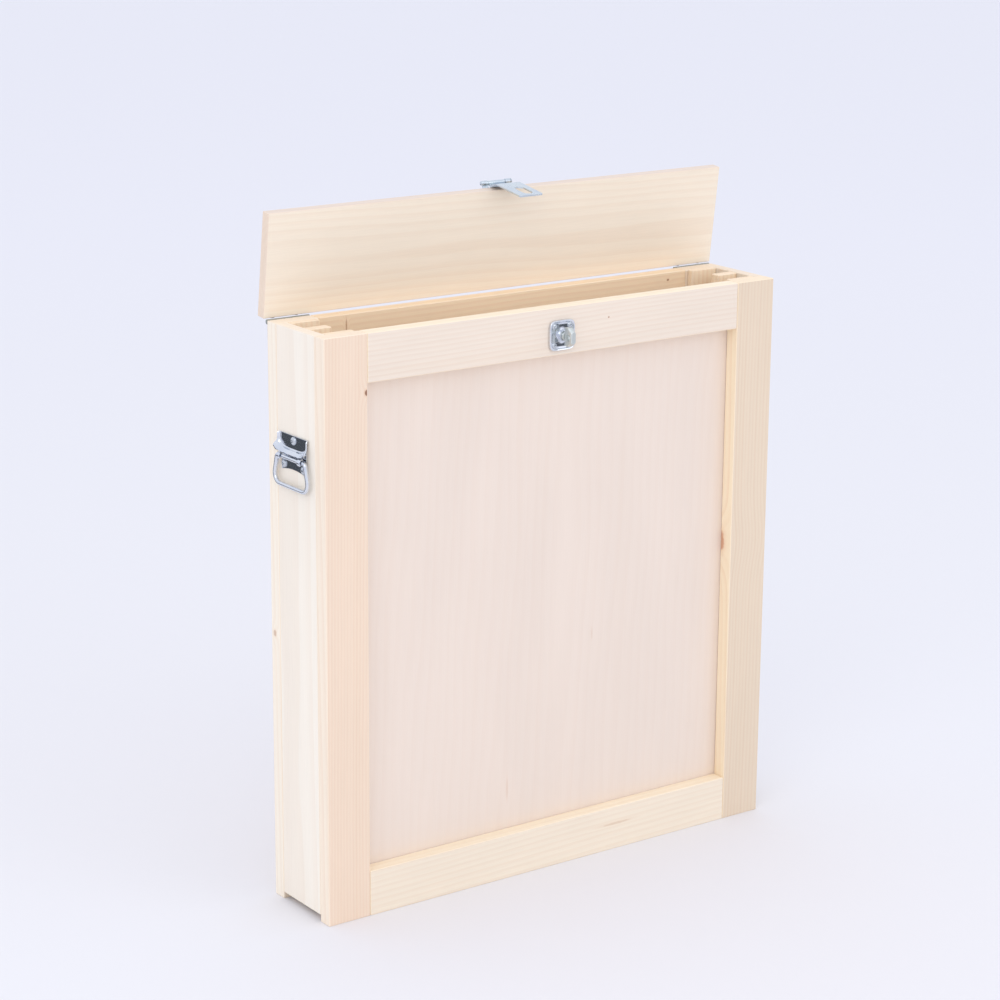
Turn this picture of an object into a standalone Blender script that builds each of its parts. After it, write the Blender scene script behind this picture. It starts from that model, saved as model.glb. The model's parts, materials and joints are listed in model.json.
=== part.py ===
"""Slim wooden carrying case for canvases and wet panels, open at the top under a hinged lid.

The origin is the middle of the footprint on the floor: +X to the right, +Y from front to back,
+Z up, in metres. The lid's parts are laid out as if the lid were shut, and their empty then
swings them open about the hinge axis.
"""

import math

import bmesh
import bpy
from mathutils import Matrix, Vector

# Case
CASE_WIDTH = 0.579
CASE_DEPTH = 0.107
CASE_HEIGHT = 0.620
FRAME_THICKNESS = 0.017
STILE_WIDTH = 0.0505
TOP_RAIL_WIDTH = 0.0505
BOTTOM_RAIL_WIDTH = 0.0497
PANEL_THICKNESS = 0.005
PANEL_SIDE_LAP = 0.0027
PANEL_END_LAP = 0.018
SIDE_THICKNESS = 0.0125
SIDE_LIFT = 0.0072
FLOOR_THICKNESS = 0.012
STRIP_WIDTH = 0.0345
STRIP_THICKNESS = 0.0072
DIVIDER_THICKNESS = 0.012
DIVIDER_WIDTH = 0.0265
DIVIDER_DROP = 0.0005
WOOD_EDGE = 0.0007
PANEL_EDGE = 0.0002
JOINT_GAP = 0.0003
CUT_SPARE = 0.0010
CUT_REACH = 0.0100

# Lid and its butt hinges
LID_THICKNESS = 0.0115
LID_FRONT_LAP = 0.0022
LID_LEFT_LAP = 0.0014
LID_RIGHT_LAP = 0.0018
LID_GAP = 0.0004
LID_EDGE = 0.0006
LID_OPEN_ANGLE = math.radians(83.0)
HINGE_LENGTH = 0.050
HINGE_INSET = 0.0012
HINGE_SHEET = 0.0012
HINGE_RADIUS = 0.0025
HINGE_DROP = 0.0020
HINGE_CASE_LEAF = 0.0180
HINGE_LID_LEAF = 0.0128
HINGE_KNUCKLES = 5
PIN_RADIUS = 0.0012
PIN_CLEARANCE = 0.0001
HINGE_SCREW_INSET = 0.0110
HINGE_CASE_SCREW_DROP = 0.0105
HINGE_LID_SCREW_RISE = 0.0082

# Hasp on the lid
HASP_X = -0.0014
HASP_LEAF_WIDTH = 0.0360
HASP_LEAF_LENGTH = 0.0340
HASP_SHEET = 0.0016
HASP_LIP = 0.0024
HASP_AXIS_AHEAD = 0.0053
HASP_AXIS_ABOVE = 0.0067
HASP_RADIUS = 0.0027
HASP_KNUCKLE = 0.0068
HASP_NECK = 0.0085
HASP_NECK_RISE = 0.0012
HASP_FOLD_OUT = 0.0030
HASP_FOLD_RISE = 0.0018
HASP_FOLD_BASE = 0.0050
HASP_SCREWS = ((-0.0110, 0.0250), (0.0110, 0.0250), (0.0, 0.0165))
HASP_PIN_RADIUS = 0.0014
HASP_PIN_HEAD_RADIUS = 0.0026
HASP_PIN_HEAD_LENGTH = 0.0016
STRAP_WIDTH = 0.0298
STRAP_CORNER = 0.0020
STRAP_KNEE = (-0.0036, -0.0212)
STRAP_TIP = (-0.0020, -0.0642)
STRAP_ROOT = (0.0016, -0.0060)
STRAP_RELIEF = 0.0105
SLOT_WIDTH = 0.0114
SLOT_LENGTH = 0.0235

# Swivel staple on the front top rail
STAPLE_X = -0.0002
STAPLE_DROP = 0.0294
STAPLE_SIZE = 0.0322
STAPLE_CORNER = 0.0062
STAPLE_EDGE = 0.0008
STAPLE_RIM = 0.0034
STAPLE_DISH = 0.0014
STAPLE_RIM_WIDTH = 0.0025
STAPLE_SCREW_OFFSET = 0.0101
BOSS_RADIUS = 0.0058
BOSS_FACE = 0.0058
BOSS_ROOT = 0.0005
NECK_RADIUS = 0.0042
NECK_ROOT = 0.0065
NECK_PLAY = 0.0002
NECK_WOOD_PLAY = 0.0006
HEAD_BACK = 0.0098
HEAD_FRONT = 0.0218
HEAD_WIDTH = 0.0066
HEAD_HEIGHT = 0.0200
HEAD_FRONT_HEIGHT = 0.0140
HEAD_BEND = 0.45
HEAD_CHAMFER = 0.0018
HEAD_EDGE = 0.0007
HEAD_HOLE_RADIUS = 0.0034
HEAD_HOLE_BACK = 0.0008

# Bail handles, one on each side board
HANDLE_Y = 0.0030
HANDLE_AXIS_Z = 0.4880
HANDLE_AXIS_OUT = 0.0047
HANDLE_SHEET = 0.0012
HANDLE_TOP_Z = 0.5115
HANDLE_TONGUE_Z = 0.4730
HANDLE_WIDTH = 0.0545
HOUSING_WIDTH = 0.0590
HOUSING_INNER_RADIUS = 0.0031
CLIP_OUTER = 0.0220
CLIP_INNER = 0.0170
CLIP_END_ANGLE = -52
CLIP_BACK_ANGLE = 100
HOOD_SHOULDER = 0.0022
HOOD_FILLET = 0.0012
HOOD_LIP_ANGLE = math.radians(15)
EAR_ANGLE = math.radians(65)
TONGUE_WIDTH = 0.0470
TONGUE_SAG = 0.0030
TONGUE_LAP = 0.0030
HANDLE_TOP_SCREW_Z = 0.5060
HANDLE_LOW_SCREW_Z = 0.4793
HANDLE_LOW_SCREW_Y = 0.0185
BAIL_RADIUS = 0.0024
BAIL_TOP_HALF = 0.0264
BAIL_TOP_CORNER = 0.0036
BAIL_WIDE_HALF = 0.0316
BAIL_BOTTOM_HALF = 0.0192
BAIL_BOTTOM_DROP = 0.0290
BAIL_BOTTOM_BOW = 0.0006
BAIL_BEND_WIDTH = 0.0105
BAIL_BEND_HEIGHT = 0.0108

# Screws
SCREW_HEAD_RADIUS = 0.0031
HANDLE_SCREW_HEAD_RADIUS = 0.0042
SCREW_HEAD_HEIGHT = 0.0018
SCREW_SHANK_RADIUS = 0.0014
SCREW_LENGTH = 0.0095
HOLE_RADIUS = 0.0019
HOLE_SPARE = 0.0015
HINGE_SCREW_HEAD_RADIUS = 0.0026
HINGE_SCREW_HEAD_HEIGHT = 0.0007
RECESS_WIDTH = 0.0008
RECESS_DEPTH = 0.0008

PINE = ("pine", (0.85, 0.72, 0.55), 0.55, 0.0)
LID_PINE = ("lid_pine", (0.83, 0.72, 0.58), 0.50, 0.0)
PLYWOOD = ("plywood", (0.84, 0.72, 0.62), 0.50, 0.0)
ZINC = ("zinc_plated_steel", (0.72, 0.75, 0.80), 0.28, 1.0)
CHROME = ("bright_steel", (0.80, 0.82, 0.84), 0.14, 1.0)

HALF_WIDTH = CASE_WIDTH / 2
HALF_DEPTH = CASE_DEPTH / 2
HINGE_Y = HALF_DEPTH + JOINT_GAP + HINGE_RADIUS
HINGE_Z = CASE_HEIGHT - HINGE_DROP
LID_BOTTOM = CASE_HEIGHT + LID_GAP
LID_TOP = LID_BOTTOM + LID_THICKNESS
STAPLE_Z = CASE_HEIGHT - STAPLE_DROP
HASP_AXIS = Vector((HASP_X, -HALF_DEPTH - HASP_AXIS_AHEAD, LID_TOP + HASP_AXIS_ABOVE))


def clear_scene():
    for item in list(bpy.data.objects):
        bpy.data.objects.remove(item, do_unlink=True)


def material(spec):
    name, colour, roughness, metallic = spec
    found = bpy.data.materials.get(name)
    if found:
        return found
    made = bpy.data.materials.new(name)
    made.use_nodes = True
    shader = made.node_tree.nodes["Principled BSDF"]
    shader.inputs["Base Color"].default_value = (*colour, 1.0)
    shader.inputs["Roughness"].default_value = roughness
    shader.inputs["Metallic"].default_value = metallic
    made.diffuse_color = (*colour, 1.0)
    return made


def empty(name, place, parent=None):
    """An empty on a joint axis. Children are laid out from it."""
    made = bpy.data.objects.new(name, None)
    bpy.context.scene.collection.objects.link(made)
    made.location = place
    made.parent = parent
    return made


def add_object(name, shape, spec, parent=None, origin=(0, 0, 0), smooth=False):
    """An object from a bmesh laid out in world axes, moved so that its origin is at origin."""
    bmesh.ops.recalc_face_normals(shape, faces=shape.faces)
    bmesh.ops.translate(shape, verts=shape.verts, vec=-Vector(origin))
    mesh = bpy.data.meshes.new(name)
    shape.to_mesh(mesh)
    shape.free()
    made = bpy.data.objects.new(name, mesh)
    bpy.context.scene.collection.objects.link(made)
    mesh.materials.append(material(spec))
    if smooth:
        mesh.shade_smooth()
        mesh.set_sharp_from_angle(angle=math.radians(35))
    made.parent = parent
    made.location = Vector(origin) - (parent_place(parent) if parent else Vector())
    return made


def parent_place(parent):
    """Where an empty stands in the shut layout, its own parents' turns left out."""
    place = Vector()
    while parent:
        place += parent.location
        parent = parent.parent
    return place


def box_shape(low, high):
    low, high = Vector(low), Vector(high)
    shape = bmesh.new()
    bmesh.ops.create_cube(shape, size=1.0)
    size = high - low
    for vert in shape.verts:
        vert.co = Vector((low[k] + (vert.co[k] + 0.5) * size[k] for k in range(3)))
    return shape


def board(name, low, high, spec=PINE, edge=WOOD_EDGE, parent=None, origin=(0, 0, 0)):
    """A sawn board between two corners, its arrises eased."""
    made = add_object(name, box_shape(low, high), spec, parent, origin)
    ease = made.modifiers.new("eased_edges", "BEVEL")
    ease.width = edge
    ease.segments = 1
    ease.limit_method = "ANGLE"
    return made


def prism_shape(outline, axis, start, end):
    """An outline in the plane across axis, extruded from start to end along it.

    Outline points are (y, z) for axis 0, (x, z) for axis 1 and (x, y) for axis 2.
    """
    shape = bmesh.new()
    ring = []
    for first, second in outline:
        place = [first, second]
        place.insert(axis, start)
        ring.append(shape.verts.new(place))
    face = shape.faces.new(ring)
    grown = bmesh.ops.extrude_face_region(shape, geom=[face])
    shift = Vector()
    shift[axis] = end - start
    tops = [item for item in grown["geom"] if isinstance(item, bmesh.types.BMVert)]
    bmesh.ops.translate(shape, verts=tops, vec=shift)
    return shape


def arc(centre, radius, start, end, count):
    """Points on an arc, angles in degrees."""
    points = []
    for step in range(count + 1):
        angle = math.radians(start + (end - start) * step / count)
        points.append((centre[0] + radius * math.cos(angle), centre[1] + radius * math.sin(angle)))
    return points


def rounded_rectangle(centre, width, height, radius, count=4):
    """A rectangle's outline with round corners, anticlockwise."""
    points = []
    for turn, (across, up) in enumerate(((1, 1), (-1, 1), (-1, -1), (1, -1))):
        corner = (centre[0] + across * (width / 2 - radius), centre[1] + up * (height / 2 - radius))
        points += arc(corner, radius, 90 * turn, 90 * turn + 90, count)
    return points


def lathe_shape(profile, place, direction, segments=16):
    """A profile of (radius, height) points turned about direction through place."""
    shape = bmesh.new()
    rings = []
    for radius, height in profile:
        if radius == 0:
            rings.append([shape.verts.new((0, 0, height))])
            continue
        ring = []
        for step in range(segments):
            angle = 2 * math.pi * step / segments
            ring.append(shape.verts.new((radius * math.cos(angle), radius * math.sin(angle), height)))
        rings.append(ring)
    for lower, upper in zip(rings, rings[1:]):
        for step in range(segments):
            after = (step + 1) % segments
            if len(lower) == 1:
                shape.faces.new((lower[0], upper[after], upper[step]))
            elif len(upper) == 1:
                shape.faces.new((lower[step], lower[after], upper[0]))
            else:
                shape.faces.new((lower[step], lower[after], upper[after], upper[step]))
    for ring, ends in ((rings[0], -1), (rings[-1], 1)):
        if len(ring) > 1:
            shape.faces.new(ring[::ends])
    turn = Vector((0, 0, 1)).rotation_difference(Vector(direction)).to_matrix().to_4x4()
    bmesh.ops.transform(shape, matrix=Matrix.Translation(place) @ turn, verts=shape.verts)
    return shape


def cylinder_shape(place, direction, radius, length, segments=16):
    return lathe_shape([(radius, 0), (radius, length)], place, direction, segments)


def merged(shapes):
    """Several closed shapes as one bmesh, for a cutter that cuts in several places."""
    whole = bmesh.new()
    for shape in shapes:
        part = bpy.data.meshes.new("part")
        shape.to_mesh(part)
        shape.free()
        whole.from_mesh(part)
        bpy.data.meshes.remove(part)
    return whole


def combine(target, shapes, operation):
    """A Boolean of target with one or more shapes, which are laid out in world axes."""
    helper = add_object(target.name + "_" + operation.lower(), merged(shapes), PINE, target.parent)
    helper.hide_render = True
    helper.display_type = "WIRE"
    change = target.modifiers.new(operation.lower(), "BOOLEAN")
    change.operation = operation
    change.solver = "EXACT"
    change.object = helper


def cut(target, shapes):
    combine(target, shapes, "DIFFERENCE")


def screw_hole(place, direction, flush=False):
    """A screw's hole through the sheet and into the wood behind, countersunk for a flush head."""
    profile = [(HOLE_RADIUS, -SCREW_LENGTH - HOLE_SPARE)]
    if flush:
        seat = HINGE_SCREW_HEAD_HEIGHT + PIN_CLEARANCE
        profile += [(HOLE_RADIUS, -seat - PIN_CLEARANCE), (HINGE_SCREW_HEAD_RADIUS - 0.0003, -seat)]
        profile += [(HINGE_SCREW_HEAD_RADIUS + 0.0004, PIN_CLEARANCE)]
        profile += [(HINGE_SCREW_HEAD_RADIUS + 0.0004, HOLE_SPARE)]
    else:
        profile += [(HOLE_RADIUS, HOLE_SPARE)]
    return lathe_shape(profile, place, direction, 14)


def screw(name, place, direction, parent=None, flush=False, radius=SCREW_HEAD_RADIUS):
    """A cross-head screw. Place is on the sheet's face and direction points out of it."""
    away = Vector(direction).normalized()
    if flush:
        head = [(HINGE_SCREW_HEAD_RADIUS - 0.0006, -HINGE_SCREW_HEAD_HEIGHT), (HINGE_SCREW_HEAD_RADIUS, 0)]
    else:
        crown = arc((0, 0), 1.0, 0, 75, 4)
        head = [(radius * across, JOINT_GAP + SCREW_HEAD_HEIGHT * up) for across, up in crown]
    profile = [(0, -SCREW_LENGTH), (SCREW_SHANK_RADIUS, -SCREW_LENGTH + 0.003)]
    profile += [(SCREW_SHANK_RADIUS, head[0][1])] + head + [(0, head[-1][1])]
    made = add_object(name, lathe_shape(profile, place, away), ZINC, parent, smooth=True)
    top = Vector(place) + away * head[-1][1]
    cut(made, [cross_recess(top, away)])
    return made


def cross_recess(top, away):
    """The cross in a screw's head, as a plus-shaped prism."""
    arm = SCREW_HEAD_RADIUS * 0.55
    half = RECESS_WIDTH / 2
    outline = []
    for turn in range(4):
        angle = math.pi / 2 * turn
        for along, across in ((arm, -half), (arm, half), (half, half)):
            outline.append((along * math.cos(angle) - across * math.sin(angle),
                            along * math.sin(angle) + across * math.cos(angle)))
    shape = prism_shape(outline, 2, -RECESS_DEPTH, 0.001)
    bmesh.ops.recalc_face_normals(shape, faces=shape.faces)
    turn = Vector((0, 0, 1)).rotation_difference(away).to_matrix().to_4x4()
    bmesh.ops.transform(shape, matrix=Matrix.Translation(top) @ turn, verts=shape.verts)
    return shape


# Wooden case

def frame(side, front):
    """A face frame: two full-height stiles, two rails between them and a panel behind."""
    outer = -HALF_DEPTH if front else HALF_DEPTH
    inward = 1 if front else -1
    inner = outer + inward * FRAME_THICKNESS
    near, far = min(outer, inner), max(outer, inner)
    stile_edge = HALF_WIDTH - STILE_WIDTH
    boards = {}
    for sign, hand in ((-1, "left"), (1, "right")):
        left, right = sorted((sign * HALF_WIDTH, sign * stile_edge))
        boards[hand] = board(f"{side}_stile_{hand}", (left, near, 0), (right, far, CASE_HEIGHT))
    rail_half = stile_edge - JOINT_GAP
    top = CASE_HEIGHT - TOP_RAIL_WIDTH
    boards["top"] = board(f"{side}_rail_top", (-rail_half, near, top), (rail_half, far, CASE_HEIGHT))
    low = (-rail_half, near, 0)
    boards["bottom"] = board(f"{side}_rail_bottom", low, (rail_half, far, BOTTOM_RAIL_WIDTH))
    panel_half = stile_edge + PANEL_SIDE_LAP
    face = inner + inward * JOINT_GAP
    back = face + inward * PANEL_THICKNESS
    low = (-panel_half, min(face, back), BOTTOM_RAIL_WIDTH - PANEL_END_LAP)
    high = (panel_half, max(face, back), top + PANEL_END_LAP)
    board(f"{side}_panel", low, high, PLYWOOD, PANEL_EDGE)
    return boards


def side_boards():
    """The two side boards between the frames, lifted so that the frames' ends are the feet."""
    reach = HALF_DEPTH - FRAME_THICKNESS - JOINT_GAP
    boards = {}
    for sign, hand in ((-1, "left"), (1, "right")):
        left, right = sorted((sign * HALF_WIDTH, sign * (HALF_WIDTH - SIDE_THICKNESS)))
        boards[hand] = board(f"side_board_{hand}", (left, -reach, SIDE_LIFT), (right, reach, CASE_HEIGHT))
    return boards


def floor_board():
    reach = HALF_DEPTH - FRAME_THICKNESS - JOINT_GAP
    half = HALF_WIDTH - SIDE_THICKNESS - JOINT_GAP
    board("floor_board", (-half, -reach, SIDE_LIFT), (half, reach, SIDE_LIFT + FLOOR_THICKNESS))


def guide_strips():
    """Full-height strips that leave two canvas slots: four in the corners, two as dividers."""
    low = SIDE_LIFT + FLOOR_THICKNESS + JOINT_GAP
    wall = HALF_WIDTH - SIDE_THICKNESS - JOINT_GAP
    outer = HALF_DEPTH - FRAME_THICKNESS - JOINT_GAP
    inner = outer - STRIP_THICKNESS
    half = DIVIDER_THICKNESS / 2
    for hand_sign, hand in ((-1, "left"), (1, "right")):
        left, right = sorted((hand_sign * wall, hand_sign * (wall - STRIP_WIDTH)))
        for depth_sign, side in ((-1, "front"), (1, "back")):
            near, far = sorted((depth_sign * outer, depth_sign * inner))
            board(f"corner_strip_{side}_{hand}", (left, near, low), (right, far, CASE_HEIGHT))
        left, right = sorted((hand_sign * wall, hand_sign * (wall - DIVIDER_WIDTH)))
        board(f"slot_divider_{hand}", (left, -half, low), (right, half, CASE_HEIGHT - DIVIDER_DROP))


# Lid, hinges and hasp

def knuckle_outline(plate, sign):
    """A hinge leaf's section about its axis: a sheet that rolls into a barrel, as (y, z)."""
    outer_y = -HINGE_RADIUS + HINGE_SHEET
    meet = math.degrees(math.acos(outer_y / HINGE_RADIUS))
    barrel = arc((0, 0), HINGE_RADIUS, 180, -meet, 14)
    points = [(-HINGE_RADIUS, -plate)] + barrel + [(outer_y, -plate)]
    return [(y, -sign * z) for y, z in points]


def knuckle_cuts(centre, first):
    """Boxes that clear the other leaf's knuckles. First is 0 or 1: the knuckles cut away."""
    pitch = HINGE_LENGTH / HINGE_KNUCKLES
    reach = HINGE_RADIUS + JOINT_GAP
    boxes = []
    for step in range(first, HINGE_KNUCKLES, 2):
        left = centre - HINGE_LENGTH / 2 + step * pitch - JOINT_GAP / 2
        right = left + pitch + JOINT_GAP
        low = (left, HINGE_Y - reach, HINGE_Z - reach)
        boxes.append(box_shape(low, (right, HINGE_Y + reach, HINGE_Z + reach)))
    return boxes


def hinge_leaf(name, centre, plate, sign, first, parent):
    """One leaf of a butt hinge with its knuckles. Sign +1 stands up from the axis, -1 hangs down."""
    outline = [(HINGE_Y + y, HINGE_Z + z) for y, z in knuckle_outline(plate, sign)]
    half = HINGE_LENGTH / 2
    shape = prism_shape(outline, 0, centre - half, centre + half)
    leaf = add_object(name, shape, ZINC, parent, smooth=True)
    bore = cylinder_shape((centre - half - CUT_SPARE, HINGE_Y, HINGE_Z), (1, 0, 0),
                          PIN_RADIUS + PIN_CLEARANCE, HINGE_LENGTH + 2 * CUT_SPARE)
    cut(leaf, [bore])
    cut(leaf, knuckle_cuts(centre, first))
    return leaf


def butt_hinge(hand, sign, lid_empty, case_wood, lid_board):
    """A hinge at one end of the case: leaves on the case's back and on the lid's back edge."""
    centre = sign * (HALF_WIDTH - HINGE_INSET - HINGE_LENGTH / 2)
    case_leaf = hinge_leaf(f"hinge_{hand}_case_leaf", centre, HINGE_CASE_LEAF, -1, 1, None)
    lid_leaf = hinge_leaf(f"hinge_{hand}_lid_leaf", centre, HINGE_LID_LEAF, 1, 0, lid_empty)
    pin = cylinder_shape((centre - HINGE_LENGTH / 2, HINGE_Y, HINGE_Z), (1, 0, 0), PIN_RADIUS, HINGE_LENGTH)
    add_object(f"hinge_{hand}_pin", pin, ZINC, smooth=True)
    face = HINGE_Y - HINGE_RADIUS + HINGE_SHEET
    reach = HINGE_LENGTH / 2 - HINGE_SCREW_INSET
    rows = (("case", HINGE_Z - HINGE_CASE_SCREW_DROP, None, case_leaf, case_wood),
            ("lid", HINGE_Z + HINGE_LID_SCREW_RISE, lid_empty, lid_leaf, lid_board))
    for part, z, parent, leaf, wood in rows:
        places = [(centre - reach, face, z), (centre + reach, face, z)]
        for number, place in enumerate(places, 1):
            screw(f"hinge_{hand}_{part}_screw_{number}", place, (0, 1, 0), parent, flush=True)
        for piece in (leaf, wood):
            cut(piece, [screw_hole(place, (0, 1, 0), flush=True) for place in places])


def lid(lid_empty):
    low = (-HALF_WIDTH - LID_LEFT_LAP, -HALF_DEPTH - LID_FRONT_LAP, LID_BOTTOM)
    high = (HALF_WIDTH + LID_RIGHT_LAP, HALF_DEPTH, LID_TOP)
    return board("lid_board", low, high, LID_PINE, LID_EDGE, lid_empty)


def hasp_leaf(lid_empty, lid_board):
    """The hasp's fixed leaf on the lid, with a knuckle at each end and a lip under the strap."""
    bottom = LID_TOP + JOINT_GAP
    front = -HALF_DEPTH - HASP_LIP
    axis_y, axis_z = HASP_AXIS.y, HASP_AXIS.z
    tail = front + HASP_LEAF_LENGTH
    neck = axis_y + HASP_NECK
    outline = [(tail, bottom), (tail, bottom + HASP_SHEET), (neck, bottom + HASP_SHEET)]
    outline += [(axis_y + HASP_RADIUS, axis_z - HASP_NECK_RISE)]
    outline += arc((axis_y, axis_z), HASP_RADIUS, 0, 270, 14)
    outline += [(axis_y + HASP_FOLD_OUT, bottom + HASP_FOLD_RISE), (axis_y + HASP_FOLD_BASE, bottom)]
    left = HASP_X - HASP_LEAF_WIDTH / 2
    right = HASP_X + HASP_LEAF_WIDTH / 2
    shape = prism_shape(outline, 0, left, right)
    leaf = add_object("hasp_leaf", shape, ZINC, lid_empty, smooth=True)
    gap = HASP_LEAF_WIDTH / 2 - HASP_KNUCKLE
    low = (HASP_X - gap, axis_y - CUT_REACH, bottom + HASP_SHEET - PIN_CLEARANCE)
    cut(leaf, [box_shape(low, (HASP_X + gap, neck + JOINT_GAP, axis_z + CUT_REACH))])
    low = (HASP_X - gap, axis_y - CUT_REACH, bottom - CUT_SPARE)
    cut(leaf, [box_shape(low, (HASP_X + gap, front, axis_z + CUT_REACH))])
    bore = cylinder_shape((left - CUT_SPARE, axis_y, axis_z), (1, 0, 0), HASP_PIN_RADIUS + PIN_CLEARANCE,
                          HASP_LEAF_WIDTH + 2 * CUT_SPARE)
    cut(leaf, [bore])
    face = bottom + HASP_SHEET
    places = [(HASP_X + across, front + along, face) for across, along in HASP_SCREWS]
    for number, place in enumerate(places, 1):
        screw(f"hasp_screw_{number}", place, (0, 0, 1), lid_empty, flush=True)
    for piece in (leaf, lid_board):
        cut(piece, [screw_hole(place, (0, 0, 1), flush=True) for place in places])


def hasp_pin(lid_empty):
    """The hasp's pin, riveted over into a small head at each end."""
    half = HASP_LEAF_WIDTH / 2 + JOINT_GAP
    head = HASP_PIN_HEAD_LENGTH
    profile = [(HASP_PIN_HEAD_RADIUS * 0.6, -head), (HASP_PIN_HEAD_RADIUS, -head * 0.5)]
    profile += [(HASP_PIN_HEAD_RADIUS, 0), (HASP_PIN_RADIUS, 0), (HASP_PIN_RADIUS, 2 * half)]
    profile += [(HASP_PIN_HEAD_RADIUS, 2 * half), (HASP_PIN_HEAD_RADIUS, 2 * half + head * 0.5)]
    profile += [(HASP_PIN_HEAD_RADIUS * 0.6, 2 * half + head)]
    place = (HASP_X - half, HASP_AXIS.y, HASP_AXIS.z)
    add_object("hasp_pin", lathe_shape(profile, place, (1, 0, 0)), ZINC, lid_empty, smooth=True)


def strap_outline():
    """The strap's section about its pin, as (y, z): barrel, cranked root, then the long tongue."""
    half = HASP_SHEET / 2
    knee, tip, root = Vector(STRAP_KNEE), Vector(STRAP_TIP), Vector(STRAP_ROOT)
    upper = (knee - root).normalized()
    lower = (tip - knee).normalized()
    upper_side = Vector((-upper.y, upper.x)) * half
    lower_side = Vector((-lower.y, lower.x)) * half
    knee_side = (upper_side + lower_side).normalized() * half
    inner = [tip + lower_side, knee + knee_side, root + upper_side]
    outer = [root - upper_side, knee - knee_side, tip - lower_side]
    barrel = arc((0, 0), HASP_RADIUS, -15, 235, 14)
    return [tuple(point) for point in inner] + barrel + [tuple(point) for point in outer]


def hasp_strap(strap_empty):
    """The swinging strap: cranked sheet with a long slot that drops over the swivel."""
    outline = [(HASP_AXIS.y + y, HASP_AXIS.z + z) for y, z in strap_outline()]
    half = STRAP_WIDTH / 2
    shape = prism_shape(outline, 0, HASP_X - half, HASP_X + half)
    strap = add_object("hasp_strap", shape, ZINC, strap_empty, smooth=True)
    gap = HASP_LEAF_WIDTH / 2 - HASP_KNUCKLE - JOINT_GAP
    near, far = HASP_AXIS.y - CUT_REACH, HASP_AXIS.y + CUT_REACH
    ears = []
    for side in (-1, 1):
        left, right = sorted((HASP_X + side * gap, HASP_X + side * (half + CUT_SPARE)))
        low = (left, near, HASP_AXIS.z - STRAP_RELIEF)
        ears.append(box_shape(low, (right, far, HASP_AXIS.z + CUT_REACH)))
    cut(strap, ears)
    bore = cylinder_shape((HASP_X - half - CUT_SPARE, HASP_AXIS.y, HASP_AXIS.z), (1, 0, 0),
                          HASP_PIN_RADIUS + PIN_CLEARANCE, STRAP_WIDTH + 2 * CUT_SPARE)
    cut(strap, [bore])
    rounding = SLOT_WIDTH / 2 - PIN_CLEARANCE
    slot = rounded_rectangle((STAPLE_X, STAPLE_Z), SLOT_WIDTH, SLOT_LENGTH, rounding, 6)
    cut(strap, [prism_shape(slot, 1, near, far)])
    cut(strap, corner_cuts(HASP_AXIS.z + STRAP_TIP[1], near, far))


def corner_cuts(tip_z, near, far):
    """What rounds the strap's two free corners."""
    cutters = []
    for side in (-1, 1):
        edge = HASP_X + side * STRAP_WIDTH / 2
        centre = (edge - side * STRAP_CORNER, tip_z + STRAP_CORNER)
        curve = arc(centre, STRAP_CORNER, 270, 270 + side * 90, 5)
        beyond = edge + side * CUT_SPARE
        below = tip_z - CUT_SPARE
        outline = curve + [(beyond, centre[1]), (beyond, below), (centre[0], below)]
        cutters.append(prism_shape(outline, 1, near, far))
    return cutters


# Swivel staple

def staple(front_rail):
    """The dished plate with its round boss, and the swivel that turns in it."""
    face = -HALF_DEPTH - JOINT_GAP
    rim = -HALF_DEPTH - STAPLE_RIM
    centre = (STAPLE_X, STAPLE_Z)
    outline = rounded_rectangle(centre, STAPLE_SIZE, STAPLE_SIZE, STAPLE_CORNER, 5)
    plate = add_object("staple_plate", prism_shape(outline, 1, face, rim), CHROME, smooth=True)
    ease = plate.modifiers.new("rolled_rim", "BEVEL")
    ease.width = STAPLE_EDGE
    ease.segments = 2
    ease.limit_method = "ANGLE"
    ease.angle_limit = math.radians(60)
    inner = STAPLE_SIZE - 2 * STAPLE_RIM_WIDTH
    dish = rounded_rectangle(centre, inner, inner, STAPLE_CORNER - STAPLE_RIM_WIDTH, 5)
    cut(plate, [prism_shape(dish, 1, -HALF_DEPTH - STAPLE_DISH, rim - CUT_SPARE)])
    place = (STAPLE_X, -HALF_DEPTH - STAPLE_DISH + BOSS_ROOT, STAPLE_Z)
    length = BOSS_FACE - STAPLE_DISH + BOSS_ROOT
    combine(plate, [cylinder_shape(place, (0, -1, 0), BOSS_RADIUS, length, 24)], "UNION")
    places = []
    for across, up in ((-1, 1), (1, 1), (-1, -1), (1, -1)):
        offset = STAPLE_SCREW_OFFSET
        places.append((STAPLE_X + across * offset, -HALF_DEPTH - STAPLE_DISH, STAPLE_Z + up * offset))
    for number, place in enumerate(places, 1):
        screw(f"staple_screw_{number}", place, (0, -1, 0))
    for piece in (plate, front_rail):
        cut(piece, [screw_hole(place, (0, -1, 0)) for place in places])
    swivel(plate, front_rail)


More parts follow.
